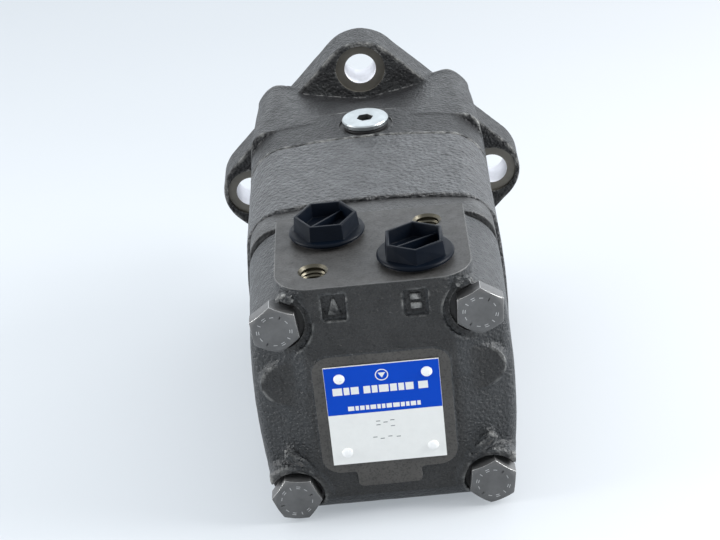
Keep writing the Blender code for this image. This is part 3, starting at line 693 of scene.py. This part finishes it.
def printed(name, colour, rough=(0.22, 0.34), metallic=0.0):
    """Screen-printed enamel: even colour with a slight mottle and orange peel."""
    made, tree, shader = new_material(name)
    dim = tuple(c * 0.975 for c in colour)
    link(ramp(tree, noise(tree, 220.0, 3.0), 0.3, 0.7, dim, colour), shader.inputs["Base Color"])
    link(ramp(tree, noise(tree, 420.0, 3.0), 0.3, 0.7, *rough), shader.inputs["Roughness"])
    shader.inputs["Metallic"].default_value = metallic
    shader.inputs["Specular IOR Level"].default_value = 0.1
    bump(tree, shader, [(noise(tree, 900.0, 2.0), 0.02, 0.3)])
    return made


RING_PAINT = cast_paint("ring_paint", 520.0, 1.1, (0.026, 0.027, 0.029), (0.048, 0.050, 0.053),
                        wear_and_highlight_tone=(0.09, 0.09, 0.09))
HOUSING_PAINT = cast_paint("housing_paint", 700.0, 0.6, (0.018, 0.018, 0.019),
                           (0.028, 0.029, 0.030), gloss=0.2)
# The cover's lighter, bluish tone on faces that slope away from the back is painted light.
COVER_PAINT = cast_paint("cover_paint", 700.0, 0.6, (0.013, 0.013, 0.013), (0.024, 0.024, 0.024),
                         gloss=0.42, painted_aside_light=(0.025, 0.027, 0.029))
PLATE_PAINT = cast_paint("plate_paint", 800.0, 0.3, (0.018, 0.018, 0.018), (0.032, 0.032, 0.032),
                         wear_and_highlight_tone=None)
PORT_FACE_PAINT = cast_paint("port_face_paint", 900.0, 0.04, (0.030, 0.029, 0.028),
                             (0.042, 0.041, 0.040), (0.42, 0.58), wear_and_highlight_tone=None, gloss=0.3)
FACED_PAINT = cast_paint("faced_paint", 900.0, 0.08, (0.052, 0.049, 0.045),
                         (0.066, 0.062, 0.057), wear_and_highlight_tone=None, gloss=0.4)
FLASH = ground_metal("cast_flash", (0.10, 0.10, 0.098), (0.42, 0.62), 900.0, metallic=0.2)
MACHINED = ground_metal("machined_iron", (0.30, 0.29, 0.27), (0.32, 0.5), 700.0, metallic=0.8)
SPOTFACE_METAL = ground_metal("spotface_metal", (0.17, 0.16, 0.14), (0.4, 0.55), 700.0,
                              metallic=0.7)
# Flange hole bores: a pale, bluish white painted reflection of the bright floor and backdrop.
BORE_PAINTED_REFLECTION = ground_metal("bore_painted_reflection", (0.80, 0.80, 0.84), (0.35, 0.5), 500.0, metallic=0.2)
THREAD_METAL = ground_metal("thread_metal", (0.12, 0.11, 0.085), (0.25, 0.4), 900.0)
SEAT_METAL = ground_metal("seat_metal", (0.035, 0.034, 0.033), (0.45, 0.6), 700.0, metallic=0.3)
STAMPED = ground_metal("stamped_mark", (0.30, 0.31, 0.31), (0.4, 0.5), 900.0)
BOLT_STEEL = ground_metal("bolt_steel_finish", (0.15, 0.15, 0.15), (0.42, 0.58), 800.0,
                          metallic=0.75)
# Bright steel for the bolt heads' bevelled edges: worn bare steel with a painted highlight.
WORN_AND_HIGHLIT_STEEL = ground_metal("worn_edge_painted_highlight", (0.66, 0.66, 0.65), (0.3, 0.45), 800.0, metallic=0.8)
MARK_STEEL = ground_metal("mark_finish", (0.50, 0.50, 0.50), (0.4, 0.55), 800.0, metallic=0.75)
SOCKET_METAL = ground_metal("socket_metal", (0.26, 0.27, 0.27), (0.3, 0.45), 800.0)
ZINC = ground_metal("zinc_finish", (0.42, 0.45, 0.46), (0.26, 0.42), 500.0)
SHAFT_STEEL = ground_metal("shaft_finish", (0.52, 0.52, 0.52), (0.22, 0.34), 1500.0, (1, 6, 1))
KEY_STEEL = ground_metal("key_finish", (0.42, 0.42, 0.42), (0.3, 0.45), 900.0)
BEARING_STEEL = ground_metal("bearing_finish", (0.60, 0.60, 0.61), (0.1, 0.2), 1500.0)
HARD_STEEL = ground_metal("hard_steel_finish", (0.42, 0.43, 0.44), (0.22, 0.36), 1200.0)
BRASS = ground_metal("brass_finish", (0.60, 0.43, 0.18), (0.25, 0.4), 900.0)
BRONZE = ground_metal("bronze_finish", (0.55, 0.38, 0.18), (0.18, 0.3), 1200.0)
CAP_PLASTIC = soft_plastic("cap_plastic_finish", (0.0012, 0.0026, 0.0055), (0.3, 0.44), gloss=0.08)
RUBBER = soft_plastic("rubber_finish", (0.014, 0.014, 0.015), (0.5, 0.7), 900.0)
PLATE_WHITE = printed("plate_white", (0.77, 0.775, 0.755))
PLATE_BLUE = printed("plate_blue", (0.0, 0.056, 0.48), (0.3, 0.42))
RIVET_METAL = printed("rivet_finish", (0.88, 0.88, 0.87), (0.25, 0.4), 0.2)


# ---------------------------------------------------------------- castings
def ring_bore_loop():
    """The gear ring's bore, with one round pocket for each of the seven rollers."""
    rollers, circle_radius, pocket, bore = 7, 33.0, 7.25, 31.5
    inner = math.acos((circle_radius ** 2 + pocket ** 2 - bore ** 2) / (2 * circle_radius * pocket))
    lip = math.degrees(math.asin(pocket * math.sin(inner) / bore))
    spread = 180.0 - math.degrees(inner)
    pitch = 360.0 / rollers
    loop = []
    for k in range(rollers):
        centre = polar((0, 0), circle_radius, k * pitch)
        loop += arc(centre, pocket, k * pitch - spread, k * pitch + spread, 24)
        loop += arc((0, 0), bore, k * pitch + lip, (k + 1) * pitch - lip, 6)[1:-1]
    return loop


def seal_groove(face, inward):
    near, far = sorted((face - inward, face + 1.6 * inward))
    return lathe([(41.2, near), (44.3, near), (44.3, far), (41.2, far)], 96, ring=True)


def make_flash():
    """Thin beads of casting flash at the foot of each scoop, and a burr round the port pad."""
    beads = []
    for number, (sx, sup) in enumerate(SIDES):
        line = []
        for k in range(-26, 28, 2):
            out = float(scoop_floor(k, 1.0)) + 0.05
            line.append((sx * out + sup * k, FLANGE_BACK - 0.1, sup * out + sx * k))
        beads.append(bead(line, 0.5, number))
    flash = add("casting_flash", merged(beads), FLASH)
    reach, middle, front = PAD_HALF_WIDTH, REAR_FACE + PAD_CORNER, 56.0
    rim = ([(-reach, front)] + arc((-reach + PAD_CORNER, middle), PAD_CORNER, 180, 270, 10)
           + arc((reach - PAD_CORNER, middle), PAD_CORNER, 270, 360, 10) + [(reach, front)])
    edge = add("pad_edge", bead([(x, s, PAD_TOP - 0.1) for x, s in rim], 0.2, 3), FLASH)


def make_housing():
    reach = LOBE_REACH
    mesh = mesh_of_field(housing_field, (-reach, HOUSING_REAR, -reach),
                         (reach, PILOT_FACE + 1, reach), CAST_STEP)
    housing = add("housing", mesh, HOUSING_PAINT)
    edge, clear = 0.5, LOBE_REACH + 9
    facing = [(0, PILOT_FACE), (PILOT_RADIUS - edge, PILOT_FACE), (PILOT_RADIUS, PILOT_FACE - edge),
              (PILOT_RADIUS, FLANGE_FACE), (clear, FLANGE_FACE), (clear, PILOT_FACE + 6),
              (0, PILOT_FACE + 6)]
    bore = [(0, RING_FRONT - 2), (38.3, RING_FRONT - 2), (38.3, 131.3), (34.15, 131.3),
            (34.15, 165.2), (31.15, 165.2), (31.15, 184.9), (25.15, 184.9),
            (25.15, PILOT_FACE - 0.8), (26.4, PILOT_FACE + 0.5), (0, PILOT_FACE + 0.5)]
    cut(housing, MACHINED, lathe(facing, 144))
    cut(housing, MACHINED, lathe(bore, 96))
    cut(housing, SPOTFACE_METAL, *drilled(HOLES, SPOTFACE_RADIUS, SPOTFACE_START, SPOTFACE))
    # The flange holes' bores are painted with a pale reflection.
    cut(housing, BORE_PAINTED_REFLECTION, *drilled(HOLES, HOLE_RADIUS, 183.0, FLANGE_FACE, 0.6))
    cut(housing, MACHINED, *drilled(BOLTS, BOLT_BORE, 110.0, 166.0))
    cut(housing, MACHINED, seal_groove(RING_FRONT + 0.3, 1))
    cut(housing, SEAT_METAL, upright([(0, 49.0), (10.85, 49.0), (10.85, 60), (0, 60)], DRAIN, 64))
    cut(housing, MACHINED, upright([(0, 30), (6.9, 30), (6.9, 52), (0, 52)], DRAIN, 48))
    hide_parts("front_housing")


def make_ring():
    half = BODY_HALF + 1
    mesh = mesh_of_field(ring_field, (-half, RING_REAR, -half), (half, RING_FRONT, half), FINE_STEP)
    ring = add("gear_ring_casting", mesh, RING_PAINT)
    cut(ring, HARD_STEEL, prism(ring_bore_loop(), RING_REAR - 3, RING_FRONT + 3))
    cut(ring, MACHINED, *drilled(BOLTS, BOLT_BORE, RING_REAR - 3, RING_FRONT + 3))
    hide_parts("gear_ring")


def make_valve_plate():
    plate = add("channel_plate", prism(body_loop(COVER_HALF), PLATE_REAR, PLATE_FRONT), PLATE_PAINT)
    bevel(plate, 0.5, 3)
    ways = [polar((0, 0), 26.0, 360.0 * (k + 0.5) / 7) for k in range(7)]
    cut(plate, MACHINED, *drilled(ways, 3.0, PLATE_REAR - 2, PLATE_FRONT + 2),
        hole((0, 0), 17.5, PLATE_REAR - 2, PLATE_FRONT + 2))
    cut(plate, MACHINED, *drilled(BOLTS, BOLT_BORE, PLATE_REAR - 3, PLATE_FRONT + 3))
    cut(plate, MACHINED, seal_groove(PLATE_FRONT + 0.15, -1))
    cut(plate, MACHINED, seal_groove(PLATE_REAR - 0.15, 1))
    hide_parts("valve_plate")


def threaded(centre, radius, depth, pitch=1.5, tooth=0.55):
    """Cutter for a threaded hole from the pad's top, with one round ridge for each turn."""
    profile = [(0, PAD_TOP - depth - 2.5), (radius, PAD_TOP - depth)]
    turns = int((depth - 1.0) / pitch)
    for k in range(turns):
        low = PAD_TOP - depth + k * pitch
        profile += [(radius, low + 0.35 * pitch), (radius + tooth, low + 0.75 * pitch),
                    (radius, low + 1.1 * pitch)]
    mouth = radius + tooth + 0.4
    profile += [(radius, PAD_TOP - 0.9), (mouth, PAD_TOP), (mouth, PAD_TOP + 3), (0, PAD_TOP + 3)]
    return upright(profile, centre, 48)


def make_cover():
    half = COVER_HALF + 1
    mesh = mesh_of_field(cover_field, (-half, NAMEPLATE_PAD - 1, -half),
                         (half, COVER_FRONT, PAD_TOP + 2), FINE_STEP)
    cover = add("cover", mesh, COVER_PAINT)
    cut(cover, PORT_FACE_PAINT, slab(box_loop(-60, 60, -10, 70), PAD_TOP, PAD_TOP + 9))
    cut(cover, FACED_PAINT, prism(box_loop(-60, 60, -60, 60), -8.0, NAMEPLATE_PAD))
    chamber = [(0, 33.0), (16.0, 33.0), (16.0, 38.0), (31.3, 38.0), (31.3, COVER_FRONT + 2),
               (0, COVER_FRONT + 2)]
    cut(cover, MACHINED, lathe(chamber, 96))
    cut(cover, THREAD_METAL, *[threaded(PORTS[k], 9.6, 16.0, 1.8, 0.65) for k in "ab"],
        *[threaded(centre, 4.4, 14.0) for centre in PAD_THREADS])
    cut(cover, MACHINED, *[upright([(0, foot), (6, foot), (6, 40), (0, 40)], PORTS[k], 32)
                           for k, foot in (("a", 20), ("b", 2))])
    cut(cover, SEAT_METAL, *[hole((x, up), 10.6 if up > 0 else 10.15, -6.0, BOLT_SEAT + 0.15)
                             for x, up in BOLTS])
    cut(cover, MACHINED, *drilled(BOLTS, BOLT_BORE, -3.0, COVER_FRONT + 2),
        *drilled(RIVETS, RIVET_BORE, -3.0, 8.0), hole((11.0, 3.0), 5.0, PORTS["b"][1] - 3.0, 39.0))
    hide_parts("rear_cover")


def raise_markers():
    """Plain cast markers in the two squares beside the ports: a triangle and two bars."""
    floor, top = REAR_SKIN + 1.1, REAR_SKIN + 0.2
    triangle = [(-16.9, 38.6), (-12.3, 38.6), (-14.2, 45.0), (-15.0, 45.0)]
    bars = [box_loop(12.0, 16.0, low, low + 2.2) for low in (38.1, 41.7)]
    marks = add("port_markers", merged([prism(loop, top, floor) for loop in [triangle, *bars]]),
                COVER_PAINT)
    bevel(marks, 0.3, 3)


# ---------------------------------------------------------------- fasteners
def make_bolt(number, x, up, turn):
    """Hex head with a turned crown, a washer face and raised dashes, on a threaded shank."""
    flats, pitch, tip, thread = 16.0, 1.5, 160.0, 130.0
    head = prism(hexagon((x, up), flats / 2 / math.cos(math.pi / 6), turn), 0.05, BOLT_SEAT - 0.2)
    bolt = add(f"bolt_{number}", head, BOLT_STEEL)
    crown = [(0, 0.05), (7.3, 0.05), (7.7, 0.15), (9.6, 1.25), (9.6, 5.9), (9.0, 6.3), (0, 6.3)]
    boolean(bolt, "INTERSECT", lathe(crown, 72, centre=(x, up)))
    # The bevel's faces take the bright edge steel: worn bare steel with a painted highlight.
    bevel(bolt, 0.2, 2, 20, WORN_AND_HIGHLIT_STEEL)
    shank = [(0, 5.8), (7.6, 5.8), (7.6, BOLT_SEAT), (5.0, BOLT_SEAT), (5.0, thread)]
    for k in range(int((tip - thread - pitch) / pitch)):
        start = thread + k * pitch
        shank += [(4.45, start + 0.35 * pitch), (5.0, start + pitch)]
    shank += [(4.2, tip), (0, tip)]
    boolean(bolt, "UNION", painted(lathe(shank, 36, centre=(x, up)), BOLT_STEEL))
    dashes = []
    for k in range(12):
        angle = turn + 29.0 * k
        around = k % 3 != 1
        near, far = (5.3, 5.55) if around else (5.1, 6.3)
        swing = 7.0 if around else 1.4
        for shift in ((0.0, 0.75) if k % 2 else (0.2,)):
            loop = (arc((x, up), far + shift * around, angle - swing, angle + swing, 4)
                    + arc((x, up), near + shift * around, angle + swing, angle - swing, 4))
            dashes.append(prism(loop, 0.0, 0.3))
    marks = add(f"bolt_marks_{number}", merged(dashes), MARK_STEEL)
    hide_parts(f"cover_bolt_{number}")


def make_drain_plug():
    """Plug with a thread, a chamfered head and a hexagon socket, on a soft washer."""
    base = DRAIN_SEAT
    profile = [(0, base - 9.0), (5.8, base - 9.0), (6.5, base - 8.2)]
    for k in range(5):
        profile += [(6.5, base - 7.6 + 1.4 * k), (5.8, base - 6.9 + 1.4 * k)]
    profile += [(6.0, base - 0.2), (6.0, base), (8.9, base), (9.4, base + 0.35), (9.4, base + 1.7),
                (9.0, base + 2.2), (0, base + 2.2)]
    plug = add("plug", upright(profile, DRAIN, 96), ZINC)
    cut(plug, SOCKET_METAL, slab(hexagon(DRAIN, 3.46, 12), base - 4.0, base + 3.0))
    bevel(plug, 0.1, 2, 50, sharp=14)
    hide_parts("drain_plug")
    ring = [(7.0, 49.35), (8.9, 49.3), (9.0, 49.7), (8.9, 50.15), (7.0, 50.2), (6.9, 49.8)]
    washer = add("washer", upright(ring, DRAIN, 72, ring=True), RUBBER)
    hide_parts("drain_plug_washer")


def hex_bar(centre, low, high, low_radius, high_radius, turn):
    """Upright hexagonal bar that tapers from one corner radius to another."""
    build = bmesh.new()
    where = (Matrix.Translation(place(*centre, (low + high) / 2))
             @ Matrix.Rotation(math.radians(turn), 4, "Z"))
    bmesh.ops.create_cone(build, cap_ends=True, segments=6, radius1=low_radius * MM,
                          radius2=high_radius * MM, depth=(high - low) * MM, matrix=where)
    return finished(build)


def make_cap(letter):
    """Moulded transport cap: flange, tapered hollow hexagon, sloping web and stem."""
    centre, base, turn = PORTS[letter], 51.3, CAP_TURNS[letter]
    flange = [(0, base - 9.5), (8.4, base - 9.5), (9.1, base - 8.6), (9.1, base), (13.3, base),
              (13.8, base + 0.5), (13.7, base + 1.1), (13.2, base + 1.6), (0, base + 1.6)]
    cap = add(f"cap_{letter}", upright(flange, centre, 96), CAP_PLASTIC)
    outside = hex_bar(centre, base + 1.0, base + 7.2, 12.1, 11.4, turn)
    boolean(cap, "UNION", painted(outside, CAP_PLASTIC))
    cut(cap, CAP_PLASTIC, hex_bar(centre, base + 1.8, base + 7.8, 9.9, 10.15, turn))
    web_loop = [(-10.2, base + 1.0), (10.2, base + 1.0), (10.2, base + 4.4), (-10.2, base + 6.2)]
    web = prism(web_loop, -0.45, 0.45)
    web.transform(Matrix.Translation(place(*centre, 0))
                  @ Matrix.Rotation(math.radians(WEB_TURNS[letter]), 4, "Z")
                  @ Matrix.Translation(-place(0, 0, 0)))
    rib = linked("rib", painted(web, CAP_PLASTIC))
    boolean(rib, "INTERSECT", hex_bar(centre, base + 0.6, base + 8.0, 10.8, 10.8, turn))
    web = rib.data.copy()
    bpy.data.objects.remove(rib, do_unlink=True)
    boolean(cap, "UNION", web)
    bevel(cap, 0.22, 2, 25)
    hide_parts(f"port_cap_{letter}")
    ring = [(9.6, 50.35), (12.2, 50.3), (12.6, 50.65), (12.2, 51.0), (9.6, 50.95)]
    seal = add(f"cap_seal_{letter}", upright(ring, centre, 72, ring=True), RUBBER)
    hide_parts(f"port_cap_seal_{letter}")


# ---------------------------------------------------------------- nameplate
def plate_piece(name, loops, rear, front, material):
    piece = add(name, merged([prism(loop, rear, front) for loop in loops]), material)
    return piece


def make_nameplate():
    """Silver-white plate, blue band, and plain blocks where a real plate has its print."""
    low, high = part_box("nameplate")
    left, right = low.x / MM, high.x / MM
    bottom, top = (low.z - AXIS_UP) / MM, (high.z - AXIS_UP) / MM
    rear, front = station_of(low.y), station_of(high.y)
    plate = plate_piece("plate", [box_loop(left, right, bottom, top)], rear, front, PLATE_WHITE)
    cut(plate, PLATE_WHITE, *drilled(RIVETS, RIVET_BORE, rear - 1, front + 1))
    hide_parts("nameplate")
    edge, band_height = 0.12, 19.8
    band = plate_piece("plate_band",
                       [box_loop(left + edge, right - edge, top - band_height, top - edge)],
                       rear - 0.05, rear - 0.005, PLATE_BLUE)
    cut(band, PLATE_BLUE, *drilled(RIVETS[:2], RIVET_BORE, rear - 1, front + 1))
    print_rear, print_front = rear - 0.08, rear - 0.045
    blocks = []
    for widths, x, foot, head, gap in (
            ((3.4, 2.0, 2.8, 2.4, 2.0, 3.4, 2.4, 2.0, 2.8, 3.4, 2.4), left + 2.6, 6.9, 9.9, 0.55),
            ((2.2, 1.2, 1.6, 1.2, 2.0, 1.2, 1.2, 1.9, 2.3, 1.4, 1.2, 1.9, 1.2), left + 7.4,
             0.1, 1.9, 0.45)):
        for width in widths:
            blocks.append(box_loop(x, x + width, foot, head))
            x += width + (1.7 if width == 2.8 else gap)
    blocks = [loop for loop in blocks if loop[1][0] < right - 2.0]
    x, up = centre = (-0.5, 14.0)
    blocks.append([(x - 1.3, up + 0.9), (x, up - 1.2), (x + 1.3, up + 0.9)])
    plate_piece("plate_print", blocks, print_rear, print_front, PLATE_WHITE)
    ring = [(2.0, print_rear), (2.35, print_rear), (2.35, print_front), (2.0, print_front)]
    symbol = add("plate_symbol", lathe(ring, 64, ring=True, centre=centre), PLATE_WHITE)
    stamps = [box_loop(x, x + 1.5, up, up + 0.35) for x, up in
              ((-4.2, -5.4), (-4.2, -7.0), (-1.6, -6.1), (0.9, -5.4), (0.9, -7.9), (-5.8, -12.1),
               (-3.2, -12.9), (-0.4, -12.2), (2.6, -12.6))]
    plate_piece("plate_stamps", stamps, rear - 0.02, rear + 0.1, STAMPED)
    profile = [(0, 0.05), (0.8, 0.08), (1.5, 0.2), (1.9, 0.45), (2.0, 0.78), (1.95, rear - 0.01),
               (1.0, rear - 0.01), (1.0, 6.0), (0, 6.0)]
    for number, spot in enumerate(RIVETS, 1):
        rivet = add(f"rivet_{number}", lathe(profile, 48, centre=spot), RIVET_METAL)
        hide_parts(f"nameplate_rivet_{number}")


# ---------------------------------------------------------------- shaft end
def splined(radius):
    """Outline of a socket with twelve rounded teeth."""
    steps = 144
    waves = [(radius + 1.1 * math.cos(12 * a), a)
             for a in (2 * math.pi * i / steps for i in range(steps))]
    return [(r * math.cos(a), r * math.sin(a)) for r, a in waves]


def keyway_plan(radius):
    first, last = (0.0, 218.5), (0.0, 253.5)
    return arc(last, radius, 0, 180, 24) + arc(first, radius, 180, 360, 24)


def make_shaft():
    land = PILOT_FACE - 4.0
    profile = [(0, 139.0), (19.0, 139.0), (20.0, 140.0), (20.0, 165.4), (22.2, 165.4),
               (22.5, 165.7), (22.5, 167.3), (22.2, 167.6), (LAND_RADIUS, 167.6),
               (LAND_RADIUS, land), (SHAFT_RADIUS, land + 1.5), (SHAFT_RADIUS, LENGTH - 1.5),
               (15.7, LENGTH - 1.1), (14.6, LENGTH - 0.05), (14.4, LENGTH), (0, LENGTH)]
    shaft = add("shaft", lathe(profile, 128), SHAFT_STEEL, "shaft")
    thread = [(0, LENGTH - 24), (4.3, LENGTH - 22)]
    for k in range(12):
        start = LENGTH - 21.0 + 1.5 * k
        thread += [(4.3, start + 0.3), (4.85, start + 0.9), (4.3, start + 1.45)]
    thread += [(4.3, LENGTH - 1.6), (5.6, LENGTH), (5.6, LENGTH + 2), (0, LENGTH + 2)]
    cut(shaft, SHAFT_STEEL, prism(splined(13.85), 138.0, 163.0))
    cut(shaft, SHAFT_STEEL, lathe([(0, 162.0), (13.0, 162.0), (4.0, 172.0), (0, 172.0)], 48))
    cut(shaft, SHAFT_STEEL, slab(keyway_plan(KEY_HALF_WIDTH + 0.15), KEY_FOOT, 18.0))
    cut(shaft, SHAFT_STEEL, lathe(thread, 48))
    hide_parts("output_shaft")
    key = add("key", slab(keyway_plan(KEY_HALF_WIDTH - 0.15), KEY_FOOT + 0.3, 19.0), KEY_STEEL,
              "shaft")
    bevel(key, 0.35, 3)
    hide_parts("shaft_key")


def make_seals():
    """Lip seal and dust seal, each with a rubber rim, a dished face and a lip on the shaft."""
    for name, start, width in (("shaft_seal", 189.0, 8.0), ("dust_seal", 200.0, 5.0)):
        end = start + width
        profile = [(24.4, start), (24.85, start + 0.5), (24.85, end - 0.5), (24.4, end),
                   (22.6, end), (22.0, end - 0.9), (20.4, end - 0.9), (19.4, end - 0.1),
                   (18.6, end - 0.3), (17.8, start + width * 0.5), (18.9, start + 0.2),
                   (20.5, start + 0.1), (21.0, start + width * 0.5), (22.2, start + width * 0.5),
                   (22.6, start)]
        seal = add(name + "_rubber", lathe(profile, 96, ring=True), RUBBER)
        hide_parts(name)


def finish_inner_pieces():
    """Give every CAD piece that stays its own detailed material."""
    kept = ("wear", "rotor", "drive", "valve_drive", "link_sp", "disc", "balance",
            "front_bearing", "rear_bearing", "shaft_nut", "roller_")
    finishes = {"o_ring": RUBBER, "bearing_rollers": BRASS, "cup": BEARING_STEEL,
                "cone": BEARING_STEEL, "roller_": BEARING_STEEL, "disc_valve": BRONZE,
                "balance_ring": BRONZE, "shaft_nut": KEY_STEEL, "balance_spring": KEY_STEEL}
    for name, piece in frame["nodes"].items():
        if name.startswith(kept) or name.endswith("o_ring"):
            finish = next((m for part, m in finishes.items() if part in name), HARD_STEEL)
            for slot in piece.material_slots:
                slot.material = finish


# ---------------------------------------------------------------- camera, light and floor
def set_camera():
    data = bpy.data.cameras.new("camera")
    data.lens = 94.91
    data.sensor_width = 36.0
    camera = linked("camera", data)
    bpy.context.scene.camera = camera
    back = Vector((0.02536, -0.87924, 0.47570)).normalized()
    right = Vector((0.99519, -0.02285, -0.09529))
    right = (right - back * right.dot(back)).normalized()
    up = back.cross(right)
    turn = Matrix((right, up, back)).transposed().to_4x4()
    camera.matrix_world = Matrix.Translation(place(12.388, -568.772, 364.665)) @ turn


def area_light(name, spot, power):
    """Soft round light, half a metre across, aimed at the middle of the motor's rear half."""
    data = bpy.data.lights.new(name, "AREA")
    data.shape = "DISK"
    data.size = 0.5
    data.energy = power
    light = linked(name, data)
    spot, target = place(*spot), place(0, 80, 0)
    turn = (target - spot).to_track_quat("-Z", "Y").to_matrix().to_4x4()
    light.matrix_world = Matrix.Translation(spot) @ turn


def set_world():
    """Pale studio, brightest high behind the motor."""
    world = bpy.data.worlds.new("studio")
    bpy.context.scene.world = world
    world.use_nodes = True
    tree = world.node_tree
    where = node(tree, "ShaderNodeTexCoord")
    toward = node(tree, "ShaderNodeVectorMath", operation="DOT_PRODUCT")
    toward.inputs[1].default_value = Vector((0.16, 0.80, 0.58)).normalized()
    link(where.outputs["Generated"], toward.inputs[0])
    glow = ramp(tree, toward.outputs["Value"], 0.30, 0.92, (0.35, 0.365, 0.38), (0.90, 0.95, 1.0))
    link(glow, tree.nodes["Background"].inputs["Color"])
    tree.nodes["Background"].inputs["Strength"].default_value = 2.2


def make_floor():
    """Pale floor that the motor leans on: the flange's rear edge and the cover's foot touch it."""
    touch_front, touch_rear = (FLANGE_BACK, -LOBE_REACH), (10.0, -46.7)
    tilt = math.atan2(touch_front[1] - touch_rear[1], touch_front[0] - touch_rear[0])
    build = bmesh.new()
    where = (Matrix.Translation(place(0, touch_front[0], touch_front[1] - 0.1))
             @ Matrix.Rotation(tilt, 4, "X"))
    bmesh.ops.create_grid(build, x_segments=2, y_segments=2, size=3.0, matrix=where)
    mesh = bpy.data.meshes.new("floor")
    build.to_mesh(mesh)
    build.free()
    made, tree, shader = new_material("floor_white")
    where = node(tree, "ShaderNodeTexCoord")
    across = node(tree, "ShaderNodeSeparateXYZ")
    link(where.outputs["Object"], across.inputs["Vector"])
    link(ramp(tree, noise(tree, 2.0), 0.3, 0.7, (0.29, 0.30, 0.31), (0.30, 0.31, 0.32)),
         shader.inputs["Base Color"])
    # Painted light: the floor glows, which lifts the shadows cast on it, and glows brighter towards
    # the right.
    link(ramp(tree, across.outputs["X"], -0.25, 0.3, (0.29, 0.315, 0.34), (0.35, 0.36, 0.375)),
         shader.inputs["Emission Color"])
    shader.inputs["Emission Strength"].default_value = 1.0
    shader.inputs["Roughness"].default_value = 0.9
    shader.inputs["Specular IOR Level"].default_value = 0.1
    floor = linked("floor", painted(mesh, made))


make_housing()
make_ring()
make_valve_plate()
make_cover()
raise_markers()
make_flash()
for number, ((x, up), turn) in enumerate(zip(BOLTS, BOLT_TURNS), 1):
    make_bolt(number, x, up, turn)
make_drain_plug()
for letter in "ab":
    make_cap(letter)
make_nameplate()
make_shaft()
make_seals()
finish_inner_pieces()
set_camera()
set_world()
area_light("right", (760, 20, 420), 12.0)
area_light("left", (-760, 0, 280), 6.5)
make_floor()
bpy.context.scene.view_settings.view_transform = "Standard"
